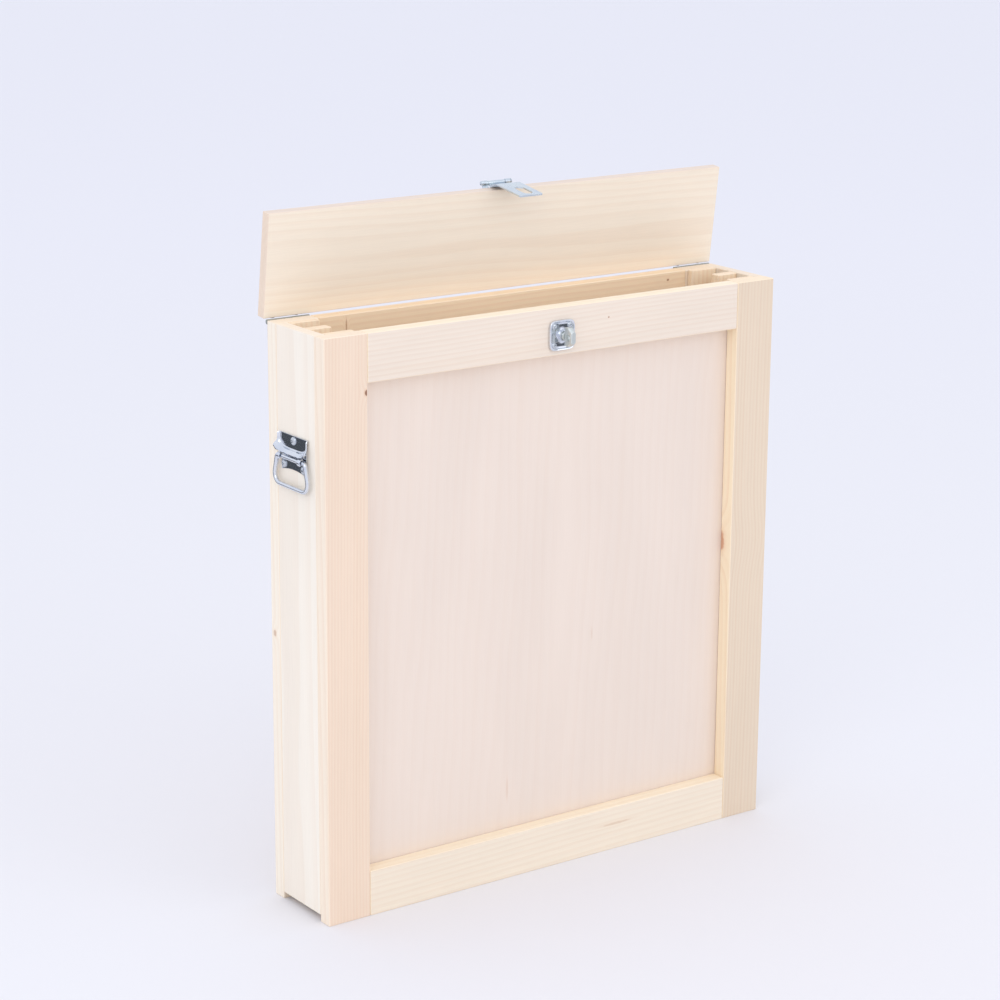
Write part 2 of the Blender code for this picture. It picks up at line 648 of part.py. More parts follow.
def swivel(plate, front_rail):
    """A head on a round neck. It passes the strap's slot upright and locks it when turned."""
    back, front = -HALF_DEPTH - HEAD_BACK, -HALF_DEPTH - HEAD_FRONT
    tall, short = HEAD_HEIGHT / 2, HEAD_FRONT_HEIGHT / 2
    bend = back + (front - back) * HEAD_BEND
    upper = [(back, tall), (bend, tall), (front + HEAD_CHAMFER, short), (front, short - HEAD_CHAMFER)]
    outline = [(y, STAPLE_Z + up) for y, up in upper] + [(y, STAPLE_Z - up) for y, up in reversed(upper)]
    half = HEAD_WIDTH / 2
    shape = prism_shape(outline, 0, STAPLE_X - half, STAPLE_X + half)
    origin = (STAPLE_X, back, STAPLE_Z)
    turn = empty("swivel_axis", origin)
    head = add_object("staple_swivel", shape, CHROME, turn, origin, smooth=True)
    ease = head.modifiers.new("cast_edges", "BEVEL")
    ease.width = HEAD_EDGE
    ease.segments = 2
    ease.limit_method = "ANGLE"
    place = (STAPLE_X, -HALF_DEPTH + NECK_ROOT, STAPLE_Z)
    neck = cylinder_shape(place, (0, -1, 0), NECK_RADIUS, NECK_ROOT + HEAD_BACK + CUT_SPARE, 24)
    combine(head, [neck], "UNION")
    place = (STAPLE_X - half - CUT_SPARE, (back + front) / 2 - HEAD_HOLE_BACK, STAPLE_Z)
    hole = cylinder_shape(place, (1, 0, 0), HEAD_HOLE_RADIUS, HEAD_WIDTH + 2 * CUT_SPARE, 20)
    cut(head, [hole])
    depth = NECK_ROOT + BOSS_ROOT
    place = (STAPLE_X, -HALF_DEPTH + depth, STAPLE_Z)
    length = depth + BOSS_FACE + CUT_SPARE
    cut(plate, [cylinder_shape(place, (0, -1, 0), NECK_RADIUS + NECK_PLAY, length, 24)])
    length = depth + CUT_SPARE
    cut(front_rail, [cylinder_shape(place, (0, -1, 0), NECK_RADIUS + NECK_WOOD_PLAY, length, 24)])


# Bail handles

def handle_section():
    """The stamped plate's section as (out, z): flange, half-round housing, clip."""
    inner, outer = HOUSING_INNER_RADIUS, HOUSING_INNER_RADIUS + HANDLE_SHEET
    axis = (HANDLE_AXIS_OUT, HANDLE_AXIS_Z)
    face = JOINT_GAP + HANDLE_SHEET
    points = [(JOINT_GAP, HANDLE_TOP_Z), (JOINT_GAP, HANDLE_AXIS_Z + outer + HOOD_FILLET)]
    points += [(face, HANDLE_AXIS_Z + inner + HOOD_FILLET / 2)]
    points += arc(axis, inner, CLIP_BACK_ANGLE, CLIP_END_ANGLE, 10)
    points += arc(axis, outer, CLIP_END_ANGLE, 90, 11)
    points += [(face + HOOD_FILLET, HANDLE_AXIS_Z + outer + HOOD_FILLET)]
    points += [(face, HANDLE_AXIS_Z + outer + 2 * HOOD_FILLET), (face, HANDLE_TOP_Z)]
    return points


def handle(hand, sign, wood):
    """One handle: the stamped plate, three screws and the swinging bail."""
    face = sign * HALF_WIDTH
    outline = [(face + sign * out, z) for out, z in handle_section()]
    half = HOUSING_WIDTH / 2
    pressed = prism_shape(outline, 1, HANDLE_Y - half, HANDLE_Y + half)
    plate = add_object(f"handle_{hand}_plate", pressed, CHROME, smooth=True)
    cut(plate, housing_cuts(face, sign))
    backing(sign, face, plate)
    top = face + sign * (JOINT_GAP + HANDLE_SHEET)
    places = [(top, HANDLE_Y, HANDLE_TOP_SCREW_Z)]
    places += [(top, HANDLE_Y + side * HANDLE_LOW_SCREW_Y, HANDLE_LOW_SCREW_Z) for side in (-1, 1)]
    for number, place in enumerate(places, 1):
        screw(f"handle_{hand}_screw_{number}", place, (sign, 0, 0), radius=HANDLE_SCREW_HEAD_RADIUS)
    for piece in (plate, wood):
        cut(piece, [screw_hole(place, (sign, 0, 0)) for place in places])
    bail(hand, sign, face)


def housing_cuts(face, sign):
    """What leaves a hood over the bar, a clip round it near each end and an ear beyond each clip."""
    def between(low_y, high_y, low_z, high_z):
        left, right = sorted((face - sign * HANDLE_SHEET, face + sign * 4 * HANDLE_AXIS_OUT))
        return box_shape((left, HANDLE_Y + low_y, low_z), (right, HANDLE_Y + high_y, high_z))

    half = HOUSING_WIDTH / 2
    floor = HANDLE_AXIS_Z - 2 * HOUSING_INNER_RADIUS
    lip = HANDLE_AXIS_Z + HOUSING_INNER_RADIUS * math.sin(HOOD_LIP_ANGLE)
    ear = HANDLE_AXIS_Z + HOUSING_INNER_RADIUS * math.sin(EAR_ANGLE)
    shoulder = HANDLE_AXIS_Z + HOUSING_INNER_RADIUS + HANDLE_SHEET + HOOD_SHOULDER
    cutters = [between(-CLIP_INNER, CLIP_INNER, floor, lip)]
    for side in (-1, 1):
        near, far = sorted((side * CLIP_OUTER, side * (half + HANDLE_SHEET)))
        cutters.append(between(near, far, floor, ear))
        near, far = sorted((side * HANDLE_WIDTH / 2, side * (half + HANDLE_SHEET)))
        cutters.append(between(near, far, shoulder, HANDLE_TOP_Z + HANDLE_SHEET))
    return cutters


def backing(sign, face, plate):
    """The plate's flat back behind the bar, down to the tongue with its curved end."""
    inner = face + sign * JOINT_GAP
    outer = inner + sign * HANDLE_SHEET
    half = TONGUE_WIDTH / 2
    top = HANDLE_AXIS_Z + HOUSING_INNER_RADIUS + HANDLE_SHEET + TONGUE_LAP
    steps = 8
    outline = [(HANDLE_Y - half, top), (HANDLE_Y + half, top)]
    for step in range(steps + 1):
        along = half - 2 * half * step / steps
        lift = TONGUE_SAG * (1 - (along / half) ** 2)
        outline.append((HANDLE_Y + along, HANDLE_TONGUE_Z + lift))
    near, far = sorted((inner, outer))
    combine(plate, [prism_shape(outline, 0, near, far)], "UNION")


def bail_path():
    """The closed ring's centreline as (y, drop below the axis), clockwise from the top bar."""
    corner = BAIL_TOP_CORNER
    shoulder = BAIL_TOP_HALF - corner
    top = [(-shoulder, 0), (shoulder, 0)]
    bend = [(shoulder + corner * 0.65, corner * 0.18), (BAIL_TOP_HALF, corner)]
    centre = (BAIL_WIDE_HALF - BAIL_BEND_WIDTH, BAIL_BOTTOM_DROP - BAIL_BEND_HEIGHT)
    curve = []
    for across, down in arc((0, 0), 1.0, 0, 75, 5):
        curve.append((centre[0] + BAIL_BEND_WIDTH * across, centre[1] + BAIL_BEND_HEIGHT * down))
    right = bend + curve + [(BAIL_BOTTOM_HALF, BAIL_BOTTOM_DROP)]
    left = [(-y, drop) for y, drop in reversed(right)]
    return top + right + [(0, BAIL_BOTTOM_DROP + BAIL_BOTTOM_BOW)] + left


def bail(hand, sign, face):
    """The wire ring, its top bar lying in the plate's housing."""
    axis = Vector((face + sign * HANDLE_AXIS_OUT, HANDLE_Y, HANDLE_AXIS_Z))
    path = [Vector((axis.x, axis.y + y, axis.z - drop)) for y, drop in bail_path()]
    shape = bmesh.new()
    sides = 12
    rings = []
    for step, point in enumerate(path):
        ahead = path[(step + 1) % len(path)]
        behind = path[step - 1]
        along = ((ahead - point).normalized() + (point - behind).normalized()).normalized()
        across = along.cross(Vector((1, 0, 0)))
        ring = []
        for turn in range(sides):
            angle = 2 * math.pi * turn / sides
            offset = across * math.cos(angle) + Vector((1, 0, 0)) * math.sin(angle)
            ring.append(shape.verts.new(point + offset * BAIL_RADIUS))
        rings.append(ring)
    for step, ring in enumerate(rings):
        after = rings[(step + 1) % len(rings)]
        for turn in range(sides):
            beside = (turn + 1) % sides
            shape.faces.new((ring[turn], ring[beside], after[beside], after[turn]))
    pivot = empty(f"bail_{hand}_axis", axis)
    add_object(f"bail_{hand}", shape, CHROME, pivot, axis, smooth=True)


def main():
    clear_scene()
    lid_empty = empty("lid_axis", (0, HINGE_Y, HINGE_Z))
    strap_place = HASP_AXIS - lid_empty.location
    strap_empty = empty("strap_axis", strap_place, lid_empty)
    front = frame("front", True)
    back = frame("back", False)
    sides = side_boards()
    floor_board()
    guide_strips()
    lid_board = lid(lid_empty)
    for sign, hand in ((-1, "left"), (1, "right")):
        butt_hinge(hand, sign, lid_empty, back[hand], lid_board)
        handle(hand, sign, sides[hand])
    hasp_leaf(lid_empty, lid_board)
    hasp_pin(lid_empty)
    hasp_strap(strap_empty)
    staple(front["top"])
    lid_empty.rotation_euler = (-LID_OPEN_ANGLE, 0, 0)


main()
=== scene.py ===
"""Studio scene of a slim pine carrying case for canvases, open at the top under a hinged lid."""

import json
import math
import random

import bmesh
import bpy
from mathutils import Matrix, Vector

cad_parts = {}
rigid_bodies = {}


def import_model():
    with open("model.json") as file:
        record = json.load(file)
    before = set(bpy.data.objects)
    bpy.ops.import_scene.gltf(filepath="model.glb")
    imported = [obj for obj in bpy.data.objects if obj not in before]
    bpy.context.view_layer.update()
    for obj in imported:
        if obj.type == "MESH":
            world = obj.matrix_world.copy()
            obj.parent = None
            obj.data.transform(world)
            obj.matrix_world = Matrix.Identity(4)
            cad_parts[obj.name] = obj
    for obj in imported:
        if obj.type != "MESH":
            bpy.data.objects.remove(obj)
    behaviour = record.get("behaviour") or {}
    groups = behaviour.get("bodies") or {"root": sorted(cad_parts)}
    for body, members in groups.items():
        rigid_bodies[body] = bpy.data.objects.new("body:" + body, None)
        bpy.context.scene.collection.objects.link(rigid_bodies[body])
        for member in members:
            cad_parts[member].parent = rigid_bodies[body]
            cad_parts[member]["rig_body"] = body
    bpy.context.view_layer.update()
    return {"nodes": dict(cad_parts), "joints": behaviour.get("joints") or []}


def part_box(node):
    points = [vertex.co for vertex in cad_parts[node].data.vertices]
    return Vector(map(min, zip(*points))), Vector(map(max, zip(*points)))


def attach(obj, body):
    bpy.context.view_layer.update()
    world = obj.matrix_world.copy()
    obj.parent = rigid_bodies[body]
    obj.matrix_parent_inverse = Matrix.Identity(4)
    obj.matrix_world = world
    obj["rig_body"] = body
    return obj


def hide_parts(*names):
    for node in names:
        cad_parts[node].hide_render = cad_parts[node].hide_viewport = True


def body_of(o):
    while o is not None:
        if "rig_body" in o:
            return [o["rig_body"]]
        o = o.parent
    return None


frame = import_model()

# The frame's own sizes
JOINTS = {joint["name"]: joint for joint in frame["joints"]}
CASE_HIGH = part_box("back_stile_right")[1]
HALF_WIDTH = CASE_HIGH.x
HALF_DEPTH = CASE_HIGH.y
HINGE = Vector(JOINTS["lid_hinge"]["pos_m"])
LID_ANGLE = math.radians(-JOINTS["lid_hinge"]["range_deg"][0])
LID_OPENS = (Matrix.Translation(HINGE) @ Matrix.Rotation(-LID_ANGLE, 4, "X")
             @ Matrix.Translation(-HINGE))
LID_SHUTS = LID_OPENS.inverted()
LID_BODIES = ("lid", "hasp_strap")
HASP = LID_SHUTS @ Vector(JOINTS["hasp_strap_hinge"]["pos_m"])

# Camera
CAMERA_PLACE = Vector((-1.6922, -2.3010, 1.1810))
CAMERA_YAW = math.radians(35.711)
CAMERA_PITCH = math.radians(15.279)
CAMERA_ROLL = math.radians(0.424)
CAMERA_LENS = 99.7
SENSOR = 36.0

MM = 0.001


# Shader building

def srgb(red, green, blue):
    """A display colour, 0 to 255 each, as linear RGBA."""
    def linear(value):
        value /= 255
        return value / 12.92 if value <= 0.04045 else ((value + 0.055) / 1.055) ** 2.4

    return (linear(red), linear(green), linear(blue), 1.0)


class Graph:
    """Short calls for building a material's nodes."""

    def __init__(self, name):
        self.material = bpy.data.materials.new(name)
        self.material.use_nodes = True
        self.tree = self.material.node_tree
        self.shader = self.tree.nodes["Principled BSDF"]

    def put(self, value, socket):
        if isinstance(value, bpy.types.NodeSocket):
            self.tree.links.new(value, socket)
        elif value is not None:
            socket.default_value = value

    def node(self, kind, *values, **settings):
        made = self.tree.nodes.new("ShaderNode" + kind)
        for name, value in settings.items():
            setattr(made, name, value)
        for socket, value in zip(made.inputs, values):
            self.put(value, socket)
        return made

    def math(self, operation, *values):
        return self.node("Math", *values, operation=operation).outputs[0]

    def vector(self, operation, *values):
        return self.node("VectorMath", *values, operation=operation).outputs[0]

    def combine(self, x, y, z):
        return self.node("CombineXYZ", x, y, z).outputs[0]

    def ramp(self, value, low, high, start=0.0, end=1.0):
        """Value eased from start at low to end at high."""
        made = self.node("MapRange", value, low, high, start, end, interpolation_type="SMOOTHSTEP")
        return made.outputs[0]

    def noise(self, point, scale=1.0, detail=2.0, roughness=0.5):
        made = self.node("TexNoise")
        self.put(point, made.inputs["Vector"])
        made.inputs["Scale"].default_value = scale
        made.inputs["Detail"].default_value = detail
        made.inputs["Roughness"].default_value = roughness
        return made.outputs["Fac"]

    def mix(self, factor, first, second, blend="MIX"):
        made = self.node("Mix", factor, data_type="RGBA", blend_type=blend)
        self.put(first, made.inputs[6])
        self.put(second, made.inputs[7])
        return made.outputs[2]

    def bump(self, height, strength, distance):
        made = self.node("Bump")
        made.inputs["Strength"].default_value = strength
        made.inputs["Distance"].default_value = distance
        self.put(height, made.inputs["Height"])
        self.put(made.outputs[0], self.shader.inputs["Normal"])


def layout_box(node):
    """A CAD node's box with the lid shut."""
    points = [vert.co for vert in frame["nodes"][node].data.vertices]
    if body_of(frame["nodes"][node])[0] in LID_BODIES:
        points = [LID_SHUTS @ point for point in points]
    low = Vector((min(point[k] for point in points) for k in range(3)))
    high = Vector((max(point[k] for point in points) for k in range(3)))
    return low, high


def layout_middle(node):
    low, high = layout_box(node)
    return (low + high) / 2


def nodes_from(start):
    """The CAD nodes whose names begin with start, in order."""
    return sorted(name for name in frame["nodes"] if name.startswith(start))


# Wood

def board_axes(graph, node, order):
    """Coordinates along the grain, across the face and through the board, from its middle."""
    where = graph.node("TexCoord")
    point, normal = where.outputs["Object"], where.outputs["Normal"]
    low, high = layout_box(node)
    if node == "lid_board":
        turn = dict(rotation_type="X_AXIS")
        point = graph.node("VectorRotate", point, tuple(HINGE), (1, 0, 0), LID_ANGLE, **turn).outputs[0]
        normal = graph.node("VectorRotate", normal, (0, 0, 0), (1, 0, 0), LID_ANGLE, **turn).outputs[0]
    middle = tuple((low + high) / 2)
    apart = graph.node("SeparateXYZ", graph.vector("SUBTRACT", point, middle)).outputs
    facing = graph.node("SeparateXYZ", normal).outputs
    return [apart[axis] for axis in order], [facing[axis] for axis in order]


def growth_rings(graph, along, across, through, look):
    """The tree's rings, met by the board's faces as straight lines or as arches."""
    slow = graph.combine(graph.math("MULTIPLY", along, 2.2), graph.math("MULTIPLY", across, 11.0),
                         graph.math("ADD", graph.math("MULTIPLY", through, 11.0), look["seed"]))
    sway = graph.math("MULTIPLY", graph.math("SUBTRACT", graph.noise(slow, 1.0, 2.0), 0.5), look["sway"])
    lean = graph.math("MULTIPLY", along, look["lean"])
    side = graph.math("SUBTRACT", graph.math("SUBTRACT", across, look["heart"][0]), lean)
    deep = graph.math("SUBTRACT", through, look["heart"][1])
    squares = graph.math("ADD", graph.math("MULTIPLY", side, side), graph.math("MULTIPLY", deep, deep))
    radius = graph.math("ADD", graph.math("SQRT", squares), sway)
    for knot in look["knots"]:
        away = knot_distance(graph, along, across, through, knot)
        swell = graph.math("EXPONENT", graph.math("MULTIPLY", graph.math("MULTIPLY", away, away), -0.11))
        radius = graph.math("ADD", radius, graph.math("MULTIPLY", swell, knot["radius"] * 1.6))
    turns = graph.math("DIVIDE", radius, look["spacing"])
    part = graph.math("FRACT", turns)
    rise = graph.ramp(part, 0.25, 0.86)
    fall = graph.ramp(part, 0.90, 1.0, 1.0, 0.0)
    year = graph.noise(graph.combine(graph.math("FLOOR", turns), look["seed"], 0.0), 3.7, 0.0)
    strength = graph.math("ADD", graph.math("MULTIPLY", year, 1.1), 0.25)
    return graph.math("MULTIPLY", graph.math("MULTIPLY", rise, fall), strength)


def knot_distance(graph, along, across, through, knot):
    """Distance from a knot's middle, 1 at its rim. Knots are a little longer along the grain."""
    across = through if knot["edge"] else across
    length = knot["radius"] * knot["stretch"]
    first = graph.math("DIVIDE", graph.math("SUBTRACT", along, knot["along"]), length)
    second = graph.math("DIVIDE", graph.math("SUBTRACT", across, knot["across"]), knot["radius"])
    return graph.math("SQRT", graph.math("ADD", graph.math("MULTIPLY", first, first),
                                         graph.math("MULTIPLY", second, second)))


def knot(along, across, radius, tone=(150, 96, 62), depth=0.75, stretch=1.3, edge=False):
    """A knot or mark on a board's broad faces or its edges, placed from the board's middle in metres."""
    return {"along": along, "across": across, "radius": radius, "tone": srgb(*tone), "depth": depth,
            "stretch": stretch, "edge": edge}


def paint_knots(graph, colour, along, across, through, facings, look):
    """Each knot's dark core with its own fine rings, and the warm stain round it."""
    for item in look["knots"]:
        away = knot_distance(graph, along, across, through, item)
        turned = graph.math("ABSOLUTE", facings[0 if item["edge"] else 1])
        away = graph.math("ADD", away, graph.ramp(turned, 0.6, 0.9, 4.0, 0.0))
        ragged = graph.noise(graph.combine(graph.math("MULTIPLY", along, 160.0),
                                           graph.math("MULTIPLY", across, 420.0), look["seed"]), 1.0, 2.0)
        away = graph.math("ADD", away, graph.math("MULTIPLY", graph.math("SUBTRACT", ragged, 0.5), 0.7))
        stain = graph.ramp(away, 0.8, 2.0, item["depth"] * 0.38, 0.0)
        colour = graph.mix(stain, colour, srgb(222, 172, 128))
        lines = graph.math("FRACT", graph.math("MULTIPLY", away, 3.0))
        core = graph.mix(graph.ramp(lines, 0.2, 0.9, 0.0, 0.45), item["tone"], srgb(196, 140, 100))
        colour = graph.mix(graph.ramp(away, 0.7, 1.15, item["depth"], 0.0), colour, core)
    return colour


def wood(node, order, tone, **changes):
    """Planed wood for one board: its rings, fibres, knots and streaks, painted light on its narrow faces and
    a painted highlight on its eased arrises.
    """
    look = {"seed": 1.0, "spacing": 0.0042, "heart": (0.05, 0.09), "lean": 0.012, "sway": 0.007,
            "contrast": 0.16, "fibre": 0.018, "streak": 0.06, "cheek": tone, "knots": ()}
    look.update(changes)
    graph = Graph(node + "_wood")
    (along, across, through), (end_facing, face_a, face_b) = board_axes(graph, node, order)
    rings = growth_rings(graph, along, across, through, look)
    fine = graph.combine(graph.math("MULTIPLY", along, 26.0), graph.math("MULTIPLY", across, 900.0),
                         graph.math("ADD", graph.math("MULTIPLY", through, 900.0), look["seed"]))
    fibre = graph.noise(fine, 1.0, 3.0, 0.6)
    wide = graph.combine(graph.math("MULTIPLY", along, 1.6), graph.math("MULTIPLY", across, 46.0),
                         graph.math("ADD", graph.math("MULTIPLY", through, 46.0), look["seed"] * 3.1))
    streak = graph.ramp(graph.noise(wide, 1.0, 3.0, 0.55), 0.48, 0.74, 0.0, look["streak"])
    patchy = graph.combine(graph.math("MULTIPLY", along, 4.0), graph.math("MULTIPLY", across, 14.0),
                           look["seed"] * 1.7)
    cloud = graph.noise(patchy, 1.0, 2.0)
    level = graph.ramp(fibre, 0.25, 0.75, 1.0 - look["fibre"], 1.0 + look["fibre"])
    level = graph.math("MULTIPLY", level, graph.ramp(cloud, 0.3, 0.7, 0.985, 1.015))
    # The narrow faces take the cheek tone: painted light and shade, lighter than the broad faces on the front
    # frame and back stile, darker on the lid.
    broad = graph.ramp(graph.math("ABSOLUTE", face_b), 0.8, 0.97)
    colour = graph.mix(broad, srgb(*look["cheek"]), srgb(*tone))
    ringed = graph.math("MULTIPLY", rings, look["contrast"])
    colour = graph.mix(ringed, colour, srgb(218, 168, 116), "MULTIPLY")
    colour = graph.mix(streak, colour, srgb(224, 184, 136))
    end = graph.ramp(graph.math("ABSOLUTE", end_facing), 0.9, 0.98)
    colour = graph.mix(graph.math("MULTIPLY", end, 0.45), colour, srgb(250, 226, 198))
    # Eased arrises, whose normals lean off every axis, are lightened: a painted highlight along the rounded
    # edges.
    flat = graph.math("MAXIMUM", graph.math("ABSOLUTE", face_a), graph.math("ABSOLUTE", face_b))
    flat = graph.math("MAXIMUM", flat, graph.math("ABSOLUTE", end_facing))
    colour = graph.mix(graph.ramp(flat, 0.80, 0.97, 0.4, 0.0), colour, srgb(250, 230, 204))
    colour = graph.mix(1.0, colour, graph.combine(level, level, level), "MULTIPLY")
    colour = paint_knots(graph, colour, along, across, through, (face_a, face_b), look)
    graph.put(colour, graph.shader.inputs["Base Color"])
    rough = graph.math("ADD", graph.ramp(fibre, 0.2, 0.8, 0.60, 0.48), graph.math("MULTIPLY", rings, -0.06))
    graph.put(rough, graph.shader.inputs["Roughness"])
    graph.shader.inputs["Specular IOR Level"].default_value = 0.35
    graph.bump(graph.math("ADD", graph.math("MULTIPLY", fibre, 0.7), graph.math("MULTIPLY", rings, 0.3)),
               0.30, 0.15 * MM)
    return graph.material


def finish_boards():
    """Every board's own piece of wood. Orders are the axes along, across and through each board."""
    along_z, along_x, side_z, flat_x = (2, 0, 1), (0, 2, 1), (2, 1, 0), (0, 1, 2)
    pale, inside = (248, 232, 210), (255, 234, 204)
    # Each cheek is the tone of a board's narrow faces, with painted light and shade in it.
    looks = {
        "front_stile_left": (along_z, (243, 220, 197), dict(
            seed=2.0, heart=(0.11, 0.05), spacing=0.0034, contrast=0.11, streak=0.05, cheek=(253, 237, 216),
            knots=(knot(0.250, 0.0242, 0.0024, (112, 62, 40), 0.9),))),
        "front_stile_right": (along_z, (233, 214, 190), dict(
            seed=5.0, heart=(0.09, 0.06), spacing=0.0038, contrast=0.12, cheek=(255, 238, 208),
            knots=(knot(0.016, 0.0085, 0.0062, (204, 128, 94), 0.7, 1.8, edge=True),))),
        "front_rail_top": (along_x, (241, 226, 209), dict(
            seed=8.0, heart=(-0.08, 0.05), spacing=0.0040, contrast=0.10, cheek=(255, 240, 214),
            knots=(knot(0.062, 0.0075, 0.0008, (150, 90, 60), 0.7),))),
        "front_rail_bottom": (along_x, (246, 232, 211), dict(
            seed=11.0, heart=(-0.07, 0.06), spacing=0.0050, contrast=0.10, cheek=(255, 240, 214),
            knots=(knot(0.085, 0.0050, 0.0013, (196, 156, 112), 0.25, 16.0),))),
        "back_stile_left": (along_z, pale, dict(
            seed=14.0, heart=(0.08, 0.07), contrast=0.10, cheek=(255, 244, 226),
            knots=(knot(-0.018, 0.002, 0.0026, (176, 130, 96), 0.45, edge=True),))),
        "back_stile_right": (along_z, pale, dict(seed=17.0, heart=(-0.10, 0.05), contrast=0.10)),
        "back_rail_top": (along_x, (255, 230, 196), dict(
            seed=20.0, heart=(-0.06, 0.05), spacing=0.0046, contrast=0.16,
            knots=(knot(0.214, 0.017, 0.0013), knot(-0.206, 0.014, 0.0060, (168, 120, 88), 0.6, 0.14)))),
        "back_rail_bottom": (along_x, pale, dict(seed=23.0, heart=(0.09, 0.05))),
        "side_board_left": (side_z, (253, 244, 229), dict(
            seed=26.0, heart=(0.02, 0.12), spacing=0.0064, contrast=0.09, streak=0.03)),
        "side_board_right": (side_z, (242, 230, 212), dict(
            seed=29.0, heart=(-0.03, 0.11), spacing=0.0058, knots=(knot(-0.09, 0.012, 0.0055),))),
        "floor_board": (flat_x, inside, dict(seed=32.0, heart=(0.01, 0.08))),
        "lid_board": (flat_x, (249, 235, 214), dict(
            seed=35.0, heart=(0.006, -0.034), lean=0.028, spacing=0.0072, sway=0.016, contrast=0.07,
            streak=0.03, cheek=(232, 214, 198))),
    }
    for number, (side, hand) in enumerate((s, h) for s in ("front", "back") for h in ("left", "right")):
        looks[f"corner_strip_{side}_{hand}"] = (along_z, inside, dict(
            seed=38.0 + number, heart=(0.07, 0.05 + 0.01 * number)))
    for number, hand in enumerate(("left", "right")):
        looks[f"slot_divider_{hand}"] = (along_z, inside, dict(seed=44.0 + number, heart=(0.06, 0.06)))
    marks = (knot(-0.215, -0.052, 0.0013, (212, 184, 162), 0.22, 9.0),
             knot(-0.060, 0.060, 0.0008, (212, 184, 162), 0.2, 8.0))
    for side, seed in (("front", 50.0), ("back", 53.0)):
        looks[side + "_panel"] = (along_z, (238, 222, 208), dict(
            seed=seed, heart=(0.02, 0.016), spacing=0.0125, sway=0.040, lean=0.05, contrast=0.03,
            fibre=0.009, streak=0.02, knots=marks))
    for node, (order, tone, changes) in looks.items():
        dress(frame["nodes"][node], wood(node, order, tone, **changes))


# Metal

def metal(name, colour, roughness, cloud=0.06, scratch=0.25, tint=(150, 170, 205)):
    """Plated steel: cloudy gloss, a faint tint in patches and fine rubbing marks."""
    graph = Graph(name)
    point = graph.node("TexCoord").outputs["Object"]
    patch = graph.noise(point, 55.0, 3.0, 0.6)
    rubbed = graph.noise(graph.vector("MULTIPLY", point, (260.0, 2600.0, 900.0)), 1.0, 2.0)
    colour = graph.mix(graph.ramp(patch, 0.35, 0.75, 0.0, 0.22), srgb(*colour), srgb(*tint))
    graph.put(colour, graph.shader.inputs["Base Color"])
    gloss = graph.math("ADD", graph.ramp(patch, 0.3, 0.7, roughness - cloud, roughness + cloud),
                       graph.ramp(rubbed, 0.55, 0.8, 0.0, 0.08))
    graph.put(gloss, graph.shader.inputs["Roughness"])
    graph.shader.inputs["Metallic"].default_value = 1.0
    graph.bump(graph.math("ADD", rubbed, graph.math("MULTIPLY", patch, 2.0)), scratch, 0.02 * MM)
    return graph.material


def dress(item, material):
    """Gives a CAD node its finished material."""
    item.data.materials.clear()
    item.data.materials.append(material)


# Mesh building

def arc(centre, radius, start, end, count):
    """Points on an arc, angles in degrees."""
    angles = [math.radians(start + (end - start) * step / count) for step in range(count + 1)]
    return [Vector((centre[0] + radius * math.cos(a), centre[1] + radius * math.sin(a))) for a in angles]


def filleted(corners, steps=6):
    """An outline from (x, y, radius) corners, each one rounded. An open line's ends have radius 0."""
    points = []
    count = len(corners)
    for number, (x, y, radius) in enumerate(corners):
        here = Vector((x, y))
        if not radius:
            points.append(here)
            continue
        back = (Vector(corners[number - 1][:2]) - here).normalized()
        ahead = (Vector(corners[(number + 1) % count][:2]) - here).normalized()
        half = back.angle(ahead) / 2
        reach = radius / math.tan(half)
        centre = here + (back + ahead).normalized() * (radius / math.sin(half))
        first, last = here + back * reach - centre, here + ahead * reach - centre
        sweep = first.angle_signed(last)
        for step in range(steps + 1):
            turn = Matrix.Rotation(-sweep * step / steps, 2)
            points.append(centre + turn @ first)
    return points


def rectangle(left, bottom, right, top, radius=0.0, steps=6):
    """A rectangle's outline, its corners rounded by radius."""
    corners = [(left, bottom), (right, bottom), (right, top), (left, top)]
    return filleted([(x, y, radius) for x, y in corners], steps)


def prism(outline, axis, start, end):
    """An outline across an axis, extruded along it. Points hold the other two axes in order."""
    shape = bmesh.new()
    ends = []
    for at in (start, end):
        ring = []
        for first, second in outline:
            place = [first, second]
            place.insert(axis, at)
            ring.append(shape.verts.new(place))
        ends.append(ring)
    count = len(outline)
    for step in range(count):
        after = (step + 1) % count
        shape.faces.new((ends[0][step], ends[0][after], ends[1][after], ends[1][step]))
    shape.faces.new(ends[0][::-1])
    shape.faces.new(ends[1])
    bmesh.ops.recalc_face_normals(shape, faces=shape.faces)
    return shape


def loft(rings, closed=False):
    """Rings of equal length joined into a skin, its ends capped unless it closes on itself."""
    shape = bmesh.new()
    made = [[shape.verts.new(point) for point in ring] for ring in rings]
    pairs = list(zip(made, made[1:] + made[:1])) if closed else list(zip(made, made[1:]))
    for lower, upper in pairs:
        for step in range(len(lower)):
            after = (step + 1) % len(lower)
            shape.faces.new((lower[step], lower[after], upper[after], upper[step]))
    if not closed:
        shape.faces.new(made[0][::-1])
        shape.faces.new(made[-1])
    bmesh.ops.recalc_face_normals(shape, faces=shape.faces)
    return shape


def lathe(profile, place, direction, segments=36):
    """(radius, height) points turned about direction through place."""
    rings = []
    for radius, height in profile:
        radius = max(radius, 0.02 * MM)
        angles = [2 * math.pi * step / segments for step in range(segments)]
        rings.append([Vector((radius * math.cos(a), radius * math.sin(a), height)) for a in angles])
    shape = loft(rings)
    turn = Vector((0, 0, 1)).rotation_difference(Vector(direction)).to_matrix().to_4x4()
    bmesh.ops.transform(shape, matrix=Matrix.Translation(place) @ turn, verts=shape.verts)
    return shape


def rod(start, end, radius, segments=36, ease=0.15 * MM):
    """A round bar between two points, its rims eased."""
    start, end = Vector(start), Vector(end)
    length = (end - start).length
    profile = [(radius - ease, 0), (radius, ease), (radius, length - ease), (radius - ease, length)]
    return lathe(profile, start, end - start, segments)


